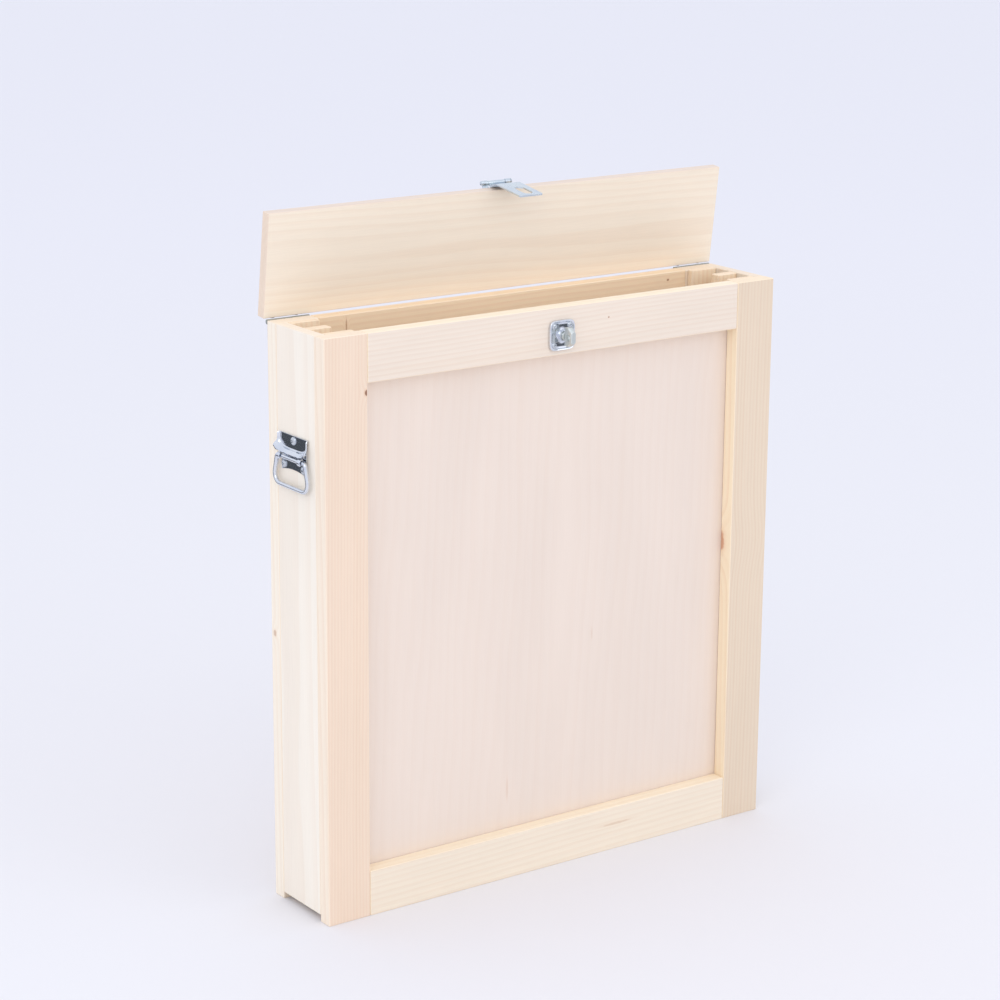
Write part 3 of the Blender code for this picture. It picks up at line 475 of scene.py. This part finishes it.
def merged(*shapes):
    """Several shapes as one, their surfaces left as they are."""
    whole = bmesh.new()
    for shape in shapes:
        part = bpy.data.meshes.new("part")
        shape.to_mesh(part)
        shape.free()
        whole.from_mesh(part)
        bpy.data.meshes.remove(part)
    return whole


def temporary(shape):
    """An object that carries a shape while modifiers work on it."""
    mesh = bpy.data.meshes.new("work")
    shape.to_mesh(mesh)
    shape.free()
    item = bpy.data.objects.new("work", mesh)
    bpy.context.scene.collection.objects.link(item)
    return item


def worked(shape, *steps):
    """A shape after a list of modifiers: (kind, settings) each, or ("CUT", shape)."""
    item = temporary(shape)
    tools = []
    for kind, settings in steps:
        if kind == "CUT":
            tools.append(temporary(settings))
            settings = dict(object=tools[-1], operation="DIFFERENCE", solver="EXACT")
            kind = "BOOLEAN"
        change = item.modifiers.new(kind.lower(), kind)
        for name, value in settings.items():
            setattr(change, name, value)
    bpy.context.view_layer.update()
    seen = item.evaluated_get(bpy.context.evaluated_depsgraph_get())
    result = bmesh.new()
    result.from_mesh(seen.to_mesh())
    for used in [item] + tools:
        bpy.data.objects.remove(used, do_unlink=True)
    return result


def eased(width, segments=2, angle=35):
    """The step that rounds every edge sharper than angle."""
    return ("BEVEL", dict(width=width, segments=segments, limit_method="ANGLE",
                          angle_limit=math.radians(angle)))


def piece(name, shape, body, material, stands_for=()):
    """A finished piece of the object, laid out with the lid shut and swung open with it."""
    if body in LID_BODIES:
        bmesh.ops.transform(shape, matrix=LID_OPENS, verts=shape.verts)
    bmesh.ops.recalc_face_normals(shape, faces=shape.faces)
    mesh = bpy.data.meshes.new(name)
    shape.to_mesh(mesh)
    shape.free()
    item = bpy.data.objects.new(name, mesh)
    bpy.context.scene.collection.objects.link(item)
    mesh.materials.append(material)
    mesh.shade_smooth()
    mesh.set_sharp_from_angle(angle=math.radians(38))
    item.modifiers.new("weighted", "WEIGHTED_NORMAL").keep_sharp = True
    bpy.context.view_layer.update()
    seen = item.evaluated_get(bpy.context.evaluated_depsgraph_get())
    item.data = bpy.data.meshes.new_from_object(seen)
    item.modifiers.clear()
    bpy.data.meshes.remove(mesh)
    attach(item, body)
    if stands_for:
        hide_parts(*stands_for)
    return item


# Screws

HEAD_HEIGHT = 1.8 * MM
HEAD_GAP = 0.3 * MM
FLUSH_CROWN = 0.2 * MM
RECESS_ARM = 1.75 * MM
RECESS_HALF = 0.36 * MM
RECESS_DEPTH = 1.2 * MM
SINK_RADIUS = 2.75 * MM
SINK_DEPTH = 0.9 * MM
SHANK_HOLE = 1.7 * MM
SHANK_RADIUS = 1.4 * MM


def cross_recess(top):
    """The tapered cross that a driver fits, as two cutters."""
    shapes = []
    for turn in (0, 90):
        half = [(RECESS_ARM, top + MM), (RECESS_ARM, top - 0.1 * MM), (RECESS_ARM * 0.45, top - RECESS_DEPTH)]
        outline = half + [(-x, z) for x, z in reversed(half)]
        shape = prism(outline, 1, -RECESS_HALF, RECESS_HALF)
        bmesh.ops.rotate(shape, verts=shape.verts, matrix=Matrix.Rotation(math.radians(turn), 3, "Z"))
        shapes.append(shape)
    return shapes


def screw_shape(flush, radius):
    """A screw's head and the start of its shank, pointing up, its seat at height 0."""
    if flush:
        profile = [(1.2 * MM, -2.0 * MM), (SHANK_RADIUS, -SINK_DEPTH), (radius - 0.1 * MM, -0.1 * MM),
                   (radius, 0), (radius - 0.2 * MM, 0.1 * MM), (radius * 0.5, FLUSH_CROWN), (0, 0.22 * MM)]
        top = FLUSH_CROWN
    else:
        crown = [(radius * point.x, HEAD_HEIGHT * point.y + HEAD_GAP) for point in arc((0, 0), 1.0, 8, 90, 9)]
        profile = [(SHANK_RADIUS, -1.5 * MM), (SHANK_RADIUS, 0), (radius * 0.97, 0)] + crown
        top = HEAD_HEIGHT + HEAD_GAP
    arms = cross_recess(top)
    return worked(lathe(profile, (0, 0, 0), (0, 0, 1), 40), ("CUT", arms[0]), ("CUT", arms[1]))


def screw_groups():
    """The start of each group's names, its body, the way it faces, and whether its heads are flush."""
    groups = [("staple_screw_", "case", (0, -1, 0), False),
              ("handle_left_screw_", "case", (-1, 0, 0), False),
              ("handle_right_screw_", "case", (1, 0, 0), False),
              ("hasp_screw_", "lid", (0, 0, 1), True)]
    for hand in ("left", "right"):
        for body in ("case", "lid"):
            groups.append((f"hinge_{hand}_{body}_screw_", body, (0, 1, 0), True))
    return groups


def set_screws(material):
    """Every screw, its cross turned its own way."""
    turns = random.Random(7)
    for start, body, facing, flush in screw_groups():
        out = Vector(facing)
        across = Vector((1, 0, 0)) if abs(out.x) < 0.5 else Vector((0, 1, 0))
        turn = out.to_track_quat("Z", "Y").to_matrix().to_4x4()
        for node in nodes_from(start):
            low, high = layout_box(node)
            top = (low + high) / 2 + out * (abs((high - low).dot(out)) / 2)
            seat = top if flush else top - out * (HEAD_HEIGHT + HEAD_GAP)
            shape = screw_shape(flush, (high - low).dot(across) / 2)
            spin = Matrix.Rotation(turns.uniform(0, math.pi), 4, "Z")
            bmesh.ops.transform(shape, matrix=Matrix.Translation(seat) @ turn @ spin, verts=shape.verts)
            piece(node + "_head", shape, body, material, (node,))


def sunk_holes(start, face, axis):
    """Countersunk holes in from a leaf's outer face, one under each screw of that name."""
    way = Vector((0, 0, 0))
    way[axis] = 1
    profile = [(SHANK_HOLE, -4 * MM), (SHANK_HOLE, -SINK_DEPTH), (SINK_RADIUS, 0),
               (SINK_RADIUS + 0.35 * MM, MM)]
    cuts = []
    for node in nodes_from(start):
        centre = layout_middle(node)
        centre[axis] = face
        cuts.append(("CUT", lathe(profile, centre, way)))
    return cuts


# Lid hinges

HINGE_SHEET = 1.2 * MM
HINGE_LEAF_CORNER = 1.2 * MM
KNUCKLE_COUNT = 5
KNUCKLE_RADIUS = 2.5 * MM
KNUCKLE_GAP = 0.1 * MM
NOTCH_DEPTH = 3.2 * MM
NOTCH_HEIGHT = 2.8 * MM
HINGE_PIN_RADIUS = 1.2 * MM
HINGE_PIN_OVER = 0.2 * MM
HINGE_EDGE = 0.15 * MM


def hinge_notch(start, end):
    """The room that one leaf leaves for a knuckle of the other."""
    block = rectangle(HINGE.y - NOTCH_DEPTH, HINGE.z - NOTCH_HEIGHT,
                      HINGE.y + NOTCH_DEPTH, HINGE.z + NOTCH_HEIGHT)
    return prism(block, 0, start - KNUCKLE_GAP, end + KNUCKLE_GAP)


def hinge_leaf(hand, body, left, right, material):
    """A flat sheet with its own knuckles, notched for the other leaf's."""
    node = f"hinge_{hand}_{body}_leaf"
    low, high = layout_box(node)
    bottom, top, first = (low.z, HINGE.z, 0) if body == "case" else (HINGE.z, high.z, 1)
    pitch = (right - left) / KNUCKLE_COUNT
    face = HINGE.y - KNUCKLE_RADIUS
    sheet = prism(rectangle(left, bottom, right, top, HINGE_LEAF_CORNER), 1, face, face + HINGE_SHEET)
    holes = sunk_holes(f"hinge_{hand}_{body}_screw_", face + HINGE_SHEET, 1)
    sheet = worked(sheet, *holes, eased(HINGE_EDGE))
    knuckles, notches = [], []
    for step in range(KNUCKLE_COUNT):
        start = left + step * pitch
        if step % 2 == first:
            ends = [(x, HINGE.y, HINGE.z) for x in (start + KNUCKLE_GAP, start + pitch - KNUCKLE_GAP)]
            knuckles.append(rod(*ends, KNUCKLE_RADIUS))
        else:
            notches.append(("CUT", hinge_notch(start, start + pitch)))
    shape = merged(worked(sheet, *notches), *knuckles)
    piece(node + "_plated", shape, body, material, (node,))


def butt_hinge(hand, material):
    """A hinge's two leaves and the pin through their knuckles, with a low dome at each end."""
    low, high = layout_box(f"hinge_{hand}_case_leaf")
    left, right = low.x, high.x
    hinge_leaf(hand, "case", left, right, material)
    hinge_leaf(hand, "lid", left, right, material)
    start, end = [(x, HINGE.y, HINGE.z) for x in (left - HINGE_PIN_OVER, right + HINGE_PIN_OVER)]
    dome = [(1.9 * MM, 0), (1.8 * MM, 0.3 * MM), (HINGE_PIN_RADIUS, 0.6 * MM), (0, 0.7 * MM)]
    domes = [lathe(dome, (x, HINGE.y, HINGE.z), (way, 0, 0))
             for x, way in ((left + 0.1 * MM, -1), (right - 0.1 * MM, 1))]
    node = f"hinge_{hand}_pin"
    shape = merged(rod(start, end, HINGE_PIN_RADIUS), *domes)
    piece(node + "_plated", shape, "case", material, (node,))


# Hasp

HASP_SHEET = 1.6 * MM
END_KNUCKLE_LENGTH = 6.8 * MM
END_KNUCKLE_RADIUS = 2.68 * MM
BARREL_RADIUS = 2.1 * MM
BARREL_GAP = 0.3 * MM
STRAP_CORNER = 2 * MM
SLOT_HALF = 5.7 * MM
SLOT_REACH = 11.7 * MM
CUT_REACH = 12 * MM
HASP_LEAF_CORNER = 3 * MM
HASP_LEAF_AHEAD = 2.3 * MM
HASP_PIN_RADIUS = 1.4 * MM
HASP_LEAF_INSET = 0.4 * MM
HASP_EDGE = 0.25 * MM
STRAP_EDGE = 0.28 * MM
SHOULDER_DROP = 10.5 * MM
SHOULDER_REACH = 9 * MM


def thick_line(points, thickness):
    """A folded sheet's section as a closed outline, from its middle line."""
    left, right = [], []
    for number, point in enumerate(points):
        before = points[max(number - 1, 0)]
        after = points[min(number + 1, len(points) - 1)]
        along = (after - before).normalized()
        side = Vector((-along.y, along.x)) * (thickness / 2)
        left.append(point + side)
        right.append(point - side)
    return left + right[::-1]


def knuckle_span():
    """Half the room between the hasp leaf's two end knuckles."""
    low, high = layout_box("hasp_leaf")
    return (high.x - low.x) / 2 - END_KNUCKLE_LENGTH


def strap_slot():
    """The slot with round ends that passes over the staple's head, as a cutter."""
    middle = layout_middle("staple_swivel")
    outline = rectangle(middle.x - SLOT_HALF, middle.z - SLOT_REACH, middle.x + SLOT_HALF,
                        middle.z + SLOT_REACH, SLOT_HALF * 0.96, 10)
    return prism(outline, 1, HASP.y - CUT_REACH, HASP.y + CUT_REACH)


def strap_corner(side, edge, bottom):
    """A cutter that rounds the strap's bottom corner on one side."""
    start = 270 if side > 0 else 180
    curve = arc((edge - side * STRAP_CORNER, bottom + STRAP_CORNER), STRAP_CORNER, start, start + 90, 8)
    outside = [Vector((edge + side * MM, bottom + STRAP_CORNER)), Vector((edge + side * MM, bottom - MM)),
               Vector((edge - side * STRAP_CORNER, bottom - MM))]
    outline = curve + (outside if side > 0 else outside[::-1])
    return prism(outline, 1, HASP.y - CUT_REACH, HASP.y + CUT_REACH)


def strap_shoulder(side, edge, inner):
    """A cutter that narrows the strap's top, clear of the leaf's end knuckle."""
    outline = rectangle(HASP.y - SHOULDER_REACH, HASP.z - SHOULDER_DROP,
                        HASP.y + SHOULDER_REACH, HASP.z + SHOULDER_REACH)
    near, far = sorted((HASP.x + side * inner, edge + side * MM))
    return prism(outline, 0, near, far)


def hasp_strap(material):
    """The strap: a barrel round the pin, a crank out past the lid's edge, and the slotted tongue."""
    low, high = layout_box("hasp_strap")
    inner = knuckle_span() - BARREL_GAP
    bends = [(1.8, -1.6, 0), (1.6, -6.5, 2.5), (-3.8, -21.2, 6)]
    line = [(HASP.y + y * MM, HASP.z + z * MM, radius * MM) for y, z, radius in bends]
    line.append((HASP.y - 2.0 * MM, low.z, 0))
    body = prism(thick_line(filleted(line), HASP_SHEET), 0, low.x, high.x)
    cuts = [("CUT", strap_slot())]
    for side, edge in ((-1, low.x), (1, high.x)):
        cuts.append(("CUT", strap_corner(side, edge, low.z)))
        cuts.append(("CUT", strap_shoulder(side, edge, inner)))
    body = worked(body, *cuts, eased(STRAP_EDGE, 3, 50))
    barrel = rod((HASP.x - inner, HASP.y, HASP.z), (HASP.x + inner, HASP.y, HASP.z), BARREL_RADIUS, 40)
    piece("hasp_strap_plated", merged(body, barrel), "hasp_strap", material, ("hasp_strap",))


def hasp_knuckle(side, inner, front, bottom):
    """One end knuckle, and the neck that joins it to the leaf."""
    start, end = sorted((HASP.x + side * inner, HASP.x + side * (inner + END_KNUCKLE_LENGTH)))
    middle = bottom + HASP_SHEET / 2
    line = filleted([(front + 7 * MM, middle, 0), (front + 4.6 * MM, middle, 2 * MM),
                     (HASP.y + 2.6 * MM, HASP.z - 0.6 * MM, 0)])
    neck = worked(prism(thick_line(line, HASP_SHEET), 0, start, end), eased(HASP_EDGE))
    return neck, rod((start, HASP.y, HASP.z), (end, HASP.y, HASP.z), END_KNUCKLE_RADIUS, 40, 0.5 * MM)


def hasp_leaf(material):
    """The leaf screwed to the lid, raised at the front to the two end knuckles."""
    low, high = layout_box("hasp_leaf")
    inner = knuckle_span()
    front = -HALF_DEPTH - HASP_LEAF_AHEAD
    top = low.z + HASP_SHEET
    left, right = low.x + HASP_LEAF_INSET, high.x - HASP_LEAF_INSET
    outline = filleted([(left, front + 4 * MM, 0), (right, front + 4 * MM, 0),
                        (right, high.y, HASP_LEAF_CORNER), (left, high.y, HASP_LEAF_CORNER)])
    plate = prism(outline, 2, low.z, top)
    lip = prism(rectangle(HASP.x - inner, front, HASP.x + inner, front + 5 * MM), 2, low.z, top)
    plate = worked(plate, *sunk_holes("hasp_screw_", top, 2), eased(HASP_EDGE))
    parts = [plate, worked(lip, eased(HASP_EDGE))]
    for side in (-1, 1):
        parts.extend(hasp_knuckle(side, inner, front, low.z))
    piece("hasp_leaf_plated", merged(*parts), "lid", material, ("hasp_leaf",))


def hasp_pin(material):
    """The hasp's pin, with a domed head at each end."""
    low, high = layout_box("hasp_pin")
    shank = rod((low.x + MM, HASP.y, HASP.z), (high.x - MM, HASP.y, HASP.z), HASP_PIN_RADIUS)
    dome = [(2.5 * MM, 0), (2.6 * MM, 0.5 * MM), (2.3 * MM, 1.0 * MM), (1.6 * MM, 1.4 * MM), (0, 1.6 * MM)]
    heads = [lathe(dome, (x, HASP.y, HASP.z), (way, 0, 0))
             for x, way in ((low.x + 1.6 * MM, -1), (high.x - 1.6 * MM, 1))]
    piece("hasp_pin_plated", merged(shank, *heads), "lid", material, ("hasp_pin",))


# Swivel staple

STAPLE_SCREW_HOLE = 1.9 * MM
BOSS_BORE = 4.3 * MM
HEAD_STANDS_OFF = 9.8 * MM
HEAD_HALF = 3.3 * MM
NECK_RADIUS = 4.2 * MM
PADLOCK_RADIUS = 3.4 * MM


def rounded_square(half, height, centre, count=96, power=5.5):
    """A ring of points on a rounded square that stands off the case's front."""
    ring = []
    for step in range(count):
        angle = 2 * math.pi * step / count
        across, up = math.cos(angle), math.sin(angle)
        radius = half / (abs(across) ** power + abs(up) ** power) ** (1 / power)
        ring.append(Vector((centre.x + radius * across, -HALF_DEPTH - height, centre.z + radius * up)))
    return ring


def staple(material):
    """The pressed plate: a rolled rim, a dished floor and the boss that the swivel turns in."""
    low, high = layout_box("staple_plate")
    centre = (low + high) / 2
    half = (high.x - low.x) / 2
    gap = max(-HALF_DEPTH - high.y, 0.0)
    rim = ((0.0, 2.3), (0.3, 3.0), (0.95, 3.4), (1.7, 3.2), (2.3, 2.4), (2.8, 1.7), (3.6, 1.42), (5.2, 1.4))
    boss = ((7.0, 1.45), (6.3, 1.8), (5.95, 2.6), (5.85, 5.0), (5.6, 5.6), (5.1, 5.8), (4.5, 5.78),
            (4.3, 5.6), (4.3, 2.0))
    rings = [rounded_square(half, gap, centre)]
    rings += [rounded_square(half - inset * MM, height * MM, centre) for inset, height in rim]
    rings += [rounded_square(radius * MM, height * MM, centre, power=2) for radius, height in boss]
    rings.append(rounded_square(BOSS_BORE, gap, centre, power=2))
    holes = []
    for node in nodes_from("staple_screw_"):
        middle = layout_middle(node)
        start, end = [(middle.x, y, middle.z) for y in (-HALF_DEPTH + MM, -HALF_DEPTH - 3 * MM)]
        holes.append(("CUT", rod(start, end, STAPLE_SCREW_HOLE)))
    shape = worked(loft(rings, closed=True), *holes)
    piece("staple_plate_pressed", shape, "case", material, ("staple_plate",))


def head_rings(centre, back, deep, tall):
    """The head's sections from its back to its front: how far along, width, height and corner in mm."""
    stages = ((0.0, 0.80, 0.92, 0.8), (0.03, 0.94, 0.98, 1.0), (0.08, 1.0, 1.0, 1.1), (0.45, 1.0, 1.0, 1.1),
              (0.51, 1.0, 0.975, 1.3), (0.72, 1.0, 0.81, 2.2), (0.87, 1.0, 0.72, 2.9),
              (0.94, 0.94, 0.69, 2.8), (0.98, 0.82, 0.64, 2.4), (1.0, 0.64, 0.58, 1.9))
    for along, width, height, corner in stages:
        x, z = HEAD_HALF * width, tall * height
        yield [Vector((centre.x + point.x, back - deep * along, centre.z + point.y))
               for point in rectangle(-x, -z, x, z, corner * MM)]


def swivel(material):
    """The cast head: flat cheeks, a crown that slopes in to a round-ended front, and the padlock hole."""
    low, high = layout_box("staple_swivel")
    centre = (low + high) / 2
    back = -HALF_DEPTH - HEAD_STANDS_OFF
    deep = back - low.y
    hole_y = back - deep / 2 - 0.8 * MM
    start, end = [(centre.x + side * 6 * MM, hole_y, centre.z) for side in (-1, 1)]
    hole = rod(start, end, PADLOCK_RADIUS, 40)
    rings = list(head_rings(centre, back, deep, (high.z - low.z) / 2))
    head = worked(loft(rings), ("CUT", hole))
    profile = [(NECK_RADIUS - 0.1 * MM, 0), (NECK_RADIUS, 0.2 * MM), (NECK_RADIUS, 14.6 * MM),
               (5.0 * MM, 15.4 * MM), (4.6 * MM, 16.4 * MM)]
    neck = lathe(profile, (centre.x, high.y, centre.z), (0, -1, 0), 40)
    node = "staple_swivel"
    piece(node + "_cast", merged(head, neck), node, material, (node,))


# Bail handles

WIRE = 2.4 * MM
TOP_INSET = 5.3 * MM
TOP_BEND = 3.6 * MM
FOOT_SPREAD = 2.6 * MM
FOOT_BEND = 9.5 * MM
CLIP_INSIDE = 3.1 * MM
CLIP_OUTSIDE = 4.2 * MM
CLIP_PLACES = ((-22 * MM, -17 * MM), (17 * MM, 22 * MM))
TONGUE_HALF = 23.5 * MM
TONGUE_BOW = 3 * MM
TONGUE_RISE = 12 * MM
TONGUE_GAP = 0.3 * MM
TONGUE_FACE = 1.35 * MM
HOOD_SHEET = 1.1 * MM
HOOD_EDGE = 0.2 * MM

# The pressed hood's form, in millimetres
LIP_DROP = 18.0
SCOOP_HALF = 26.0
SCOOP_DROP = 15.0
SCOOP_FLOOR = 1.5
SCOOP_WALL = 0.22
HOOD_RISE = 6.4
HOOD_HALF = 27.2
EAR_SPREAD = 2.1
EAR_LIFT = 2.6
BEAD = 0.35
RIM = 1.2


def bail(hand, material):
    """The wire ring, a rounded trapezium whose top bar turns under the plate's hood."""
    node = f"bail_{hand}"
    axis = Vector(JOINTS[node + "_swing"]["pos_m"])
    low, high = layout_box(node)
    widest = (high.y - low.y) / 2 - WIRE
    drop = axis.z - low.z - WIRE
    top, foot = widest - TOP_INSET, widest + FOOT_SPREAD
    corners = [(-top, 0, TOP_BEND), (top, 0, TOP_BEND), (foot, -drop, FOOT_BEND), (0, -drop - 0.1 * MM, 0),
               (-foot, -drop, FOOT_BEND)]
    path = filleted(corners, 12)
    outward = Vector((1, 0, 0))
    sides = 20
    rings = []
    for number, point in enumerate(path):
        before, after = path[number - 1], path[(number + 1) % len(path)]
        along = ((point - before).normalized() + (after - point).normalized()).normalized()
        side = Vector((0, -along.y, along.x))
        centre = Vector((axis.x, axis.y + point.x, axis.z + point.y))
        angles = [2 * math.pi * turn / sides for turn in range(sides)]
        rings.append([centre + (side * math.cos(a) + outward * math.sin(a)) * WIRE for a in angles])
    piece(node + "_wire", loft(rings, closed=True), node, material, (node,))


def eased_step(value):
    """0 below 0, 1 above 1, and a smooth rise between."""
    value = min(max(value, 0.0), 1.0)
    return value * value * (3 - 2 * value)


def pressed_out(side, drop):
    """How far the pressed sheet stands off the board, side off its middle and drop below its top."""
    scoop = ((side / SCOOP_HALF) ** 4 + (max(drop, 0.0) / SCOOP_DROP) ** 4) ** 0.25
    rise = min(max((scoop - 1.0) / SCOOP_WALL, 0.0), 1.0)
    bead = BEAD * math.exp(-((drop - LIP_DROP + 1.9) / 0.55) ** 2) * eased_step((23 - side) / 3)
    rim = RIM * math.exp(-((scoop - 1.03) / 0.045) ** 2) * eased_step(drop / 2)
    return SCOOP_FLOOR + HOOD_RISE * rise ** 0.9 + bead + rim


def hood_surface(centre, face, sign, top):
    """The pressed sheet: a sunk scoop with a bright rim, and a hood that flares to an ear at each end."""
    columns, rows = 64, 34
    shape = bmesh.new()
    grid = []
    for row in range(rows + 1):
        line = []
        for column in range(columns + 1):
            across = 2 * column / columns - 1
            lip = LIP_DROP - EAR_LIFT * eased_step((abs(across) - 0.84) / 0.16)
            drop = lip * row / rows
            half = HOOD_HALF + EAR_SPREAD * eased_step((drop - 6) / 8)
            out = pressed_out(abs(across) * half, drop)
            place = (face + sign * out * MM, centre + across * half * MM, top - drop * MM)
            line.append(shape.verts.new(place))
        grid.append(line)
    for upper, lower in zip(grid, grid[1:]):
        for column in range(columns):
            shape.faces.new((upper[column], upper[column + 1], lower[column + 1], lower[column]))
    bmesh.ops.recalc_face_normals(shape, faces=shape.faces)
    if sum(item.normal.x for item in shape.faces) * sign < 0:
        bmesh.ops.reverse_faces(shape, faces=shape.faces)
    return shape


def bail_clip(axis, sign, start, end):
    """A strip of the plate curled round the bail's top bar."""
    band = arc((0, 0), CLIP_INSIDE, 100, -52, 16) + arc((0, 0), CLIP_OUTSIDE, -52, 100, 16)
    outline = [(axis.x + sign * point.x, axis.z + point.y) for point in band]
    return worked(prism(outline, 1, axis.y + start, axis.y + end), eased(0.3 * MM, 3))


def plate_tongue(axis, face, sign, bottom):
    """The flat back plate, from under the hood down to its bowed foot."""
    outline = [(axis.y + side * TONGUE_HALF, axis.z + TONGUE_RISE) for side in (1, -1)]
    steps = 16
    for step in range(steps + 1):
        across = 2 * step / steps - 1
        outline.append((axis.y + across * TONGUE_HALF, bottom + TONGUE_BOW * (1 - across ** 2)))
    start, end = sorted((face + sign * TONGUE_GAP, face + sign * TONGUE_FACE))
    return worked(prism(outline, 0, start, end), eased(HOOD_EDGE))


def handle_plate(hand, sign, material):
    """The hood, a clip round the bar near each end, and the back plate."""
    node = f"handle_{hand}_plate"
    low, high = layout_box(node)
    axis = Vector(JOINTS[f"bail_{hand}_swing"]["pos_m"])
    face = sign * HALF_WIDTH
    thickened = ("SOLIDIFY", dict(thickness=HOOD_SHEET, offset=-1))
    hood = worked(hood_surface(axis.y, face, sign, high.z), thickened, eased(HOOD_EDGE))
    clips = [bail_clip(axis, sign, start, end) for start, end in CLIP_PLACES]
    tongue = plate_tongue(axis, face, sign, low.z)
    piece(node + "_pressed", merged(hood, tongue, *clips), "case", material, (node,))


# Studio

def camera():
    """The camera at the photograph's angle."""
    made = bpy.data.objects.new("camera", bpy.data.cameras.new("camera"))
    bpy.context.scene.collection.objects.link(made)
    made.data.sensor_width = SENSOR
    made.data.lens = CAMERA_LENS
    made.data.clip_end = 100.0
    made.location = CAMERA_PLACE
    level = math.cos(CAMERA_PITCH)
    ahead = Vector((math.sin(CAMERA_YAW) * level, math.cos(CAMERA_YAW) * level, -math.sin(CAMERA_PITCH)))
    turn = ahead.to_track_quat("-Z", "Y").to_matrix().to_4x4() @ Matrix.Rotation(CAMERA_ROLL, 4, "Z")
    made.rotation_euler = turn.to_euler()
    bpy.context.scene.camera = made


def area_light(name, place, target, size, power, colour):
    data = bpy.data.lights.new(name, "AREA")
    data.shape = "DISK"
    data.size = size
    data.energy = power
    data.color = colour
    made = bpy.data.objects.new(name, data)
    bpy.context.scene.collection.objects.link(made)
    made.location = place
    made.rotation_euler = (Vector(target) - Vector(place)).to_track_quat("-Z", "Y").to_euler()


def paper_floor():
    """A wide sheet of pale paper, faintly mottled, that cools towards the distance."""
    shape = bmesh.new()
    bmesh.ops.create_circle(shape, cap_ends=True, radius=60.0, segments=96)
    mesh = bpy.data.meshes.new("paper_floor")
    shape.to_mesh(mesh)
    shape.free()
    floor = bpy.data.objects.new("paper_floor", mesh)
    bpy.context.scene.collection.objects.link(floor)
    graph = Graph("paper")
    point = graph.node("TexCoord").outputs["Object"]
    away = graph.node("VectorMath", point, operation="LENGTH").outputs["Value"]
    colour = graph.mix(graph.ramp(away, 0.8, 4.5), srgb(237, 235, 237), srgb(240, 238, 242))
    grain = graph.noise(point, 500.0, 2.0)
    colour = graph.mix(graph.ramp(grain, 0.3, 0.7, 0.0, 0.03), colour, srgb(214, 218, 228))
    graph.put(colour, graph.shader.inputs["Base Color"])
    graph.shader.inputs["Roughness"].default_value = 0.9
    graph.shader.inputs["Specular IOR Level"].default_value = 0.1
    graph.bump(grain, 0.1, 0.1 * MM)
    mesh.materials.append(graph.material)


def dark_card(name, place, target, width, height):
    """A black card that only shows in the metal's gloss."""
    shape = bmesh.new()
    bmesh.ops.create_grid(shape, x_segments=1, y_segments=1, size=0.5)
    bmesh.ops.scale(shape, vec=(width, height, 1), verts=shape.verts)
    mesh = bpy.data.meshes.new(name)
    shape.to_mesh(mesh)
    shape.free()
    card = bpy.data.objects.new(name, mesh)
    bpy.context.scene.collection.objects.link(card)
    card.location = place
    card.rotation_euler = (Vector(target) - Vector(place)).to_track_quat("Z", "Y").to_euler()
    graph = Graph(name + "_black")
    graph.shader.inputs["Base Color"].default_value = (0.03, 0.035, 0.04, 1)
    graph.shader.inputs["Roughness"].default_value = 0.8
    mesh.materials.append(graph.material)
    card.visible_camera = False
    card.visible_diffuse = False
    card.visible_shadow = False
    card.visible_transmission = False


def studio():
    """Pale surroundings, three soft lights, the floor and the cards that darken the metal's gloss."""
    world = bpy.data.worlds.new("studio")
    bpy.context.scene.world = world
    world.use_nodes = True
    background = world.node_tree.nodes["Background"]
    background.inputs["Color"].default_value = srgb(238, 242, 252)
    background.inputs["Strength"].default_value = 1.08
    bpy.context.scene.view_settings.view_transform = "Standard"
    middle = (0, 0, 0.35)
    area_light("key", (-2.4, -2.0, 2.8), middle, 2.6, 17.5, (1.0, 0.985, 0.96))
    area_light("front", (1.4, -3.4, 1.8), middle, 2.4, 12.0, (1.0, 0.99, 0.98))
    area_light("top", (0.2, 0.3, 3.6), middle, 2.4, 5.0, (0.97, 0.985, 1.0))
    paper_floor()
    dark_card("card_left", (-1.45, 1.75, 0.02), (-1.45, 1.75, 1.0), 1.7, 1.5)
    dark_card("card_right", (1.90, -2.50, 0.02), (1.90, -2.50, 1.0), 2.1, 1.7)


def main():
    camera()
    studio()
    zinc = metal("zinc_plating", (212, 220, 224), 0.28, scratch=0.08)
    dull = metal("dull_plating", (172, 174, 164), 0.34)
    cast = metal("cast_head", (214, 219, 216), 0.42, scratch=0.4, tint=(186, 198, 198))
    bright = metal("bright_plating", (224, 227, 232), 0.09, cloud=0.03, scratch=0.12)
    screws = metal("screw_plating", (204, 208, 212), 0.20)
    finish_boards()
    set_screws(screws)
    for hand, sign in (("left", -1), ("right", 1)):
        butt_hinge(hand, dull)
        handle_plate(hand, sign, bright)
        bail(hand, bright)
    hasp_leaf(zinc)
    hasp_pin(zinc)
    hasp_strap(zinc)
    staple(bright)
    swivel(cast)


main()
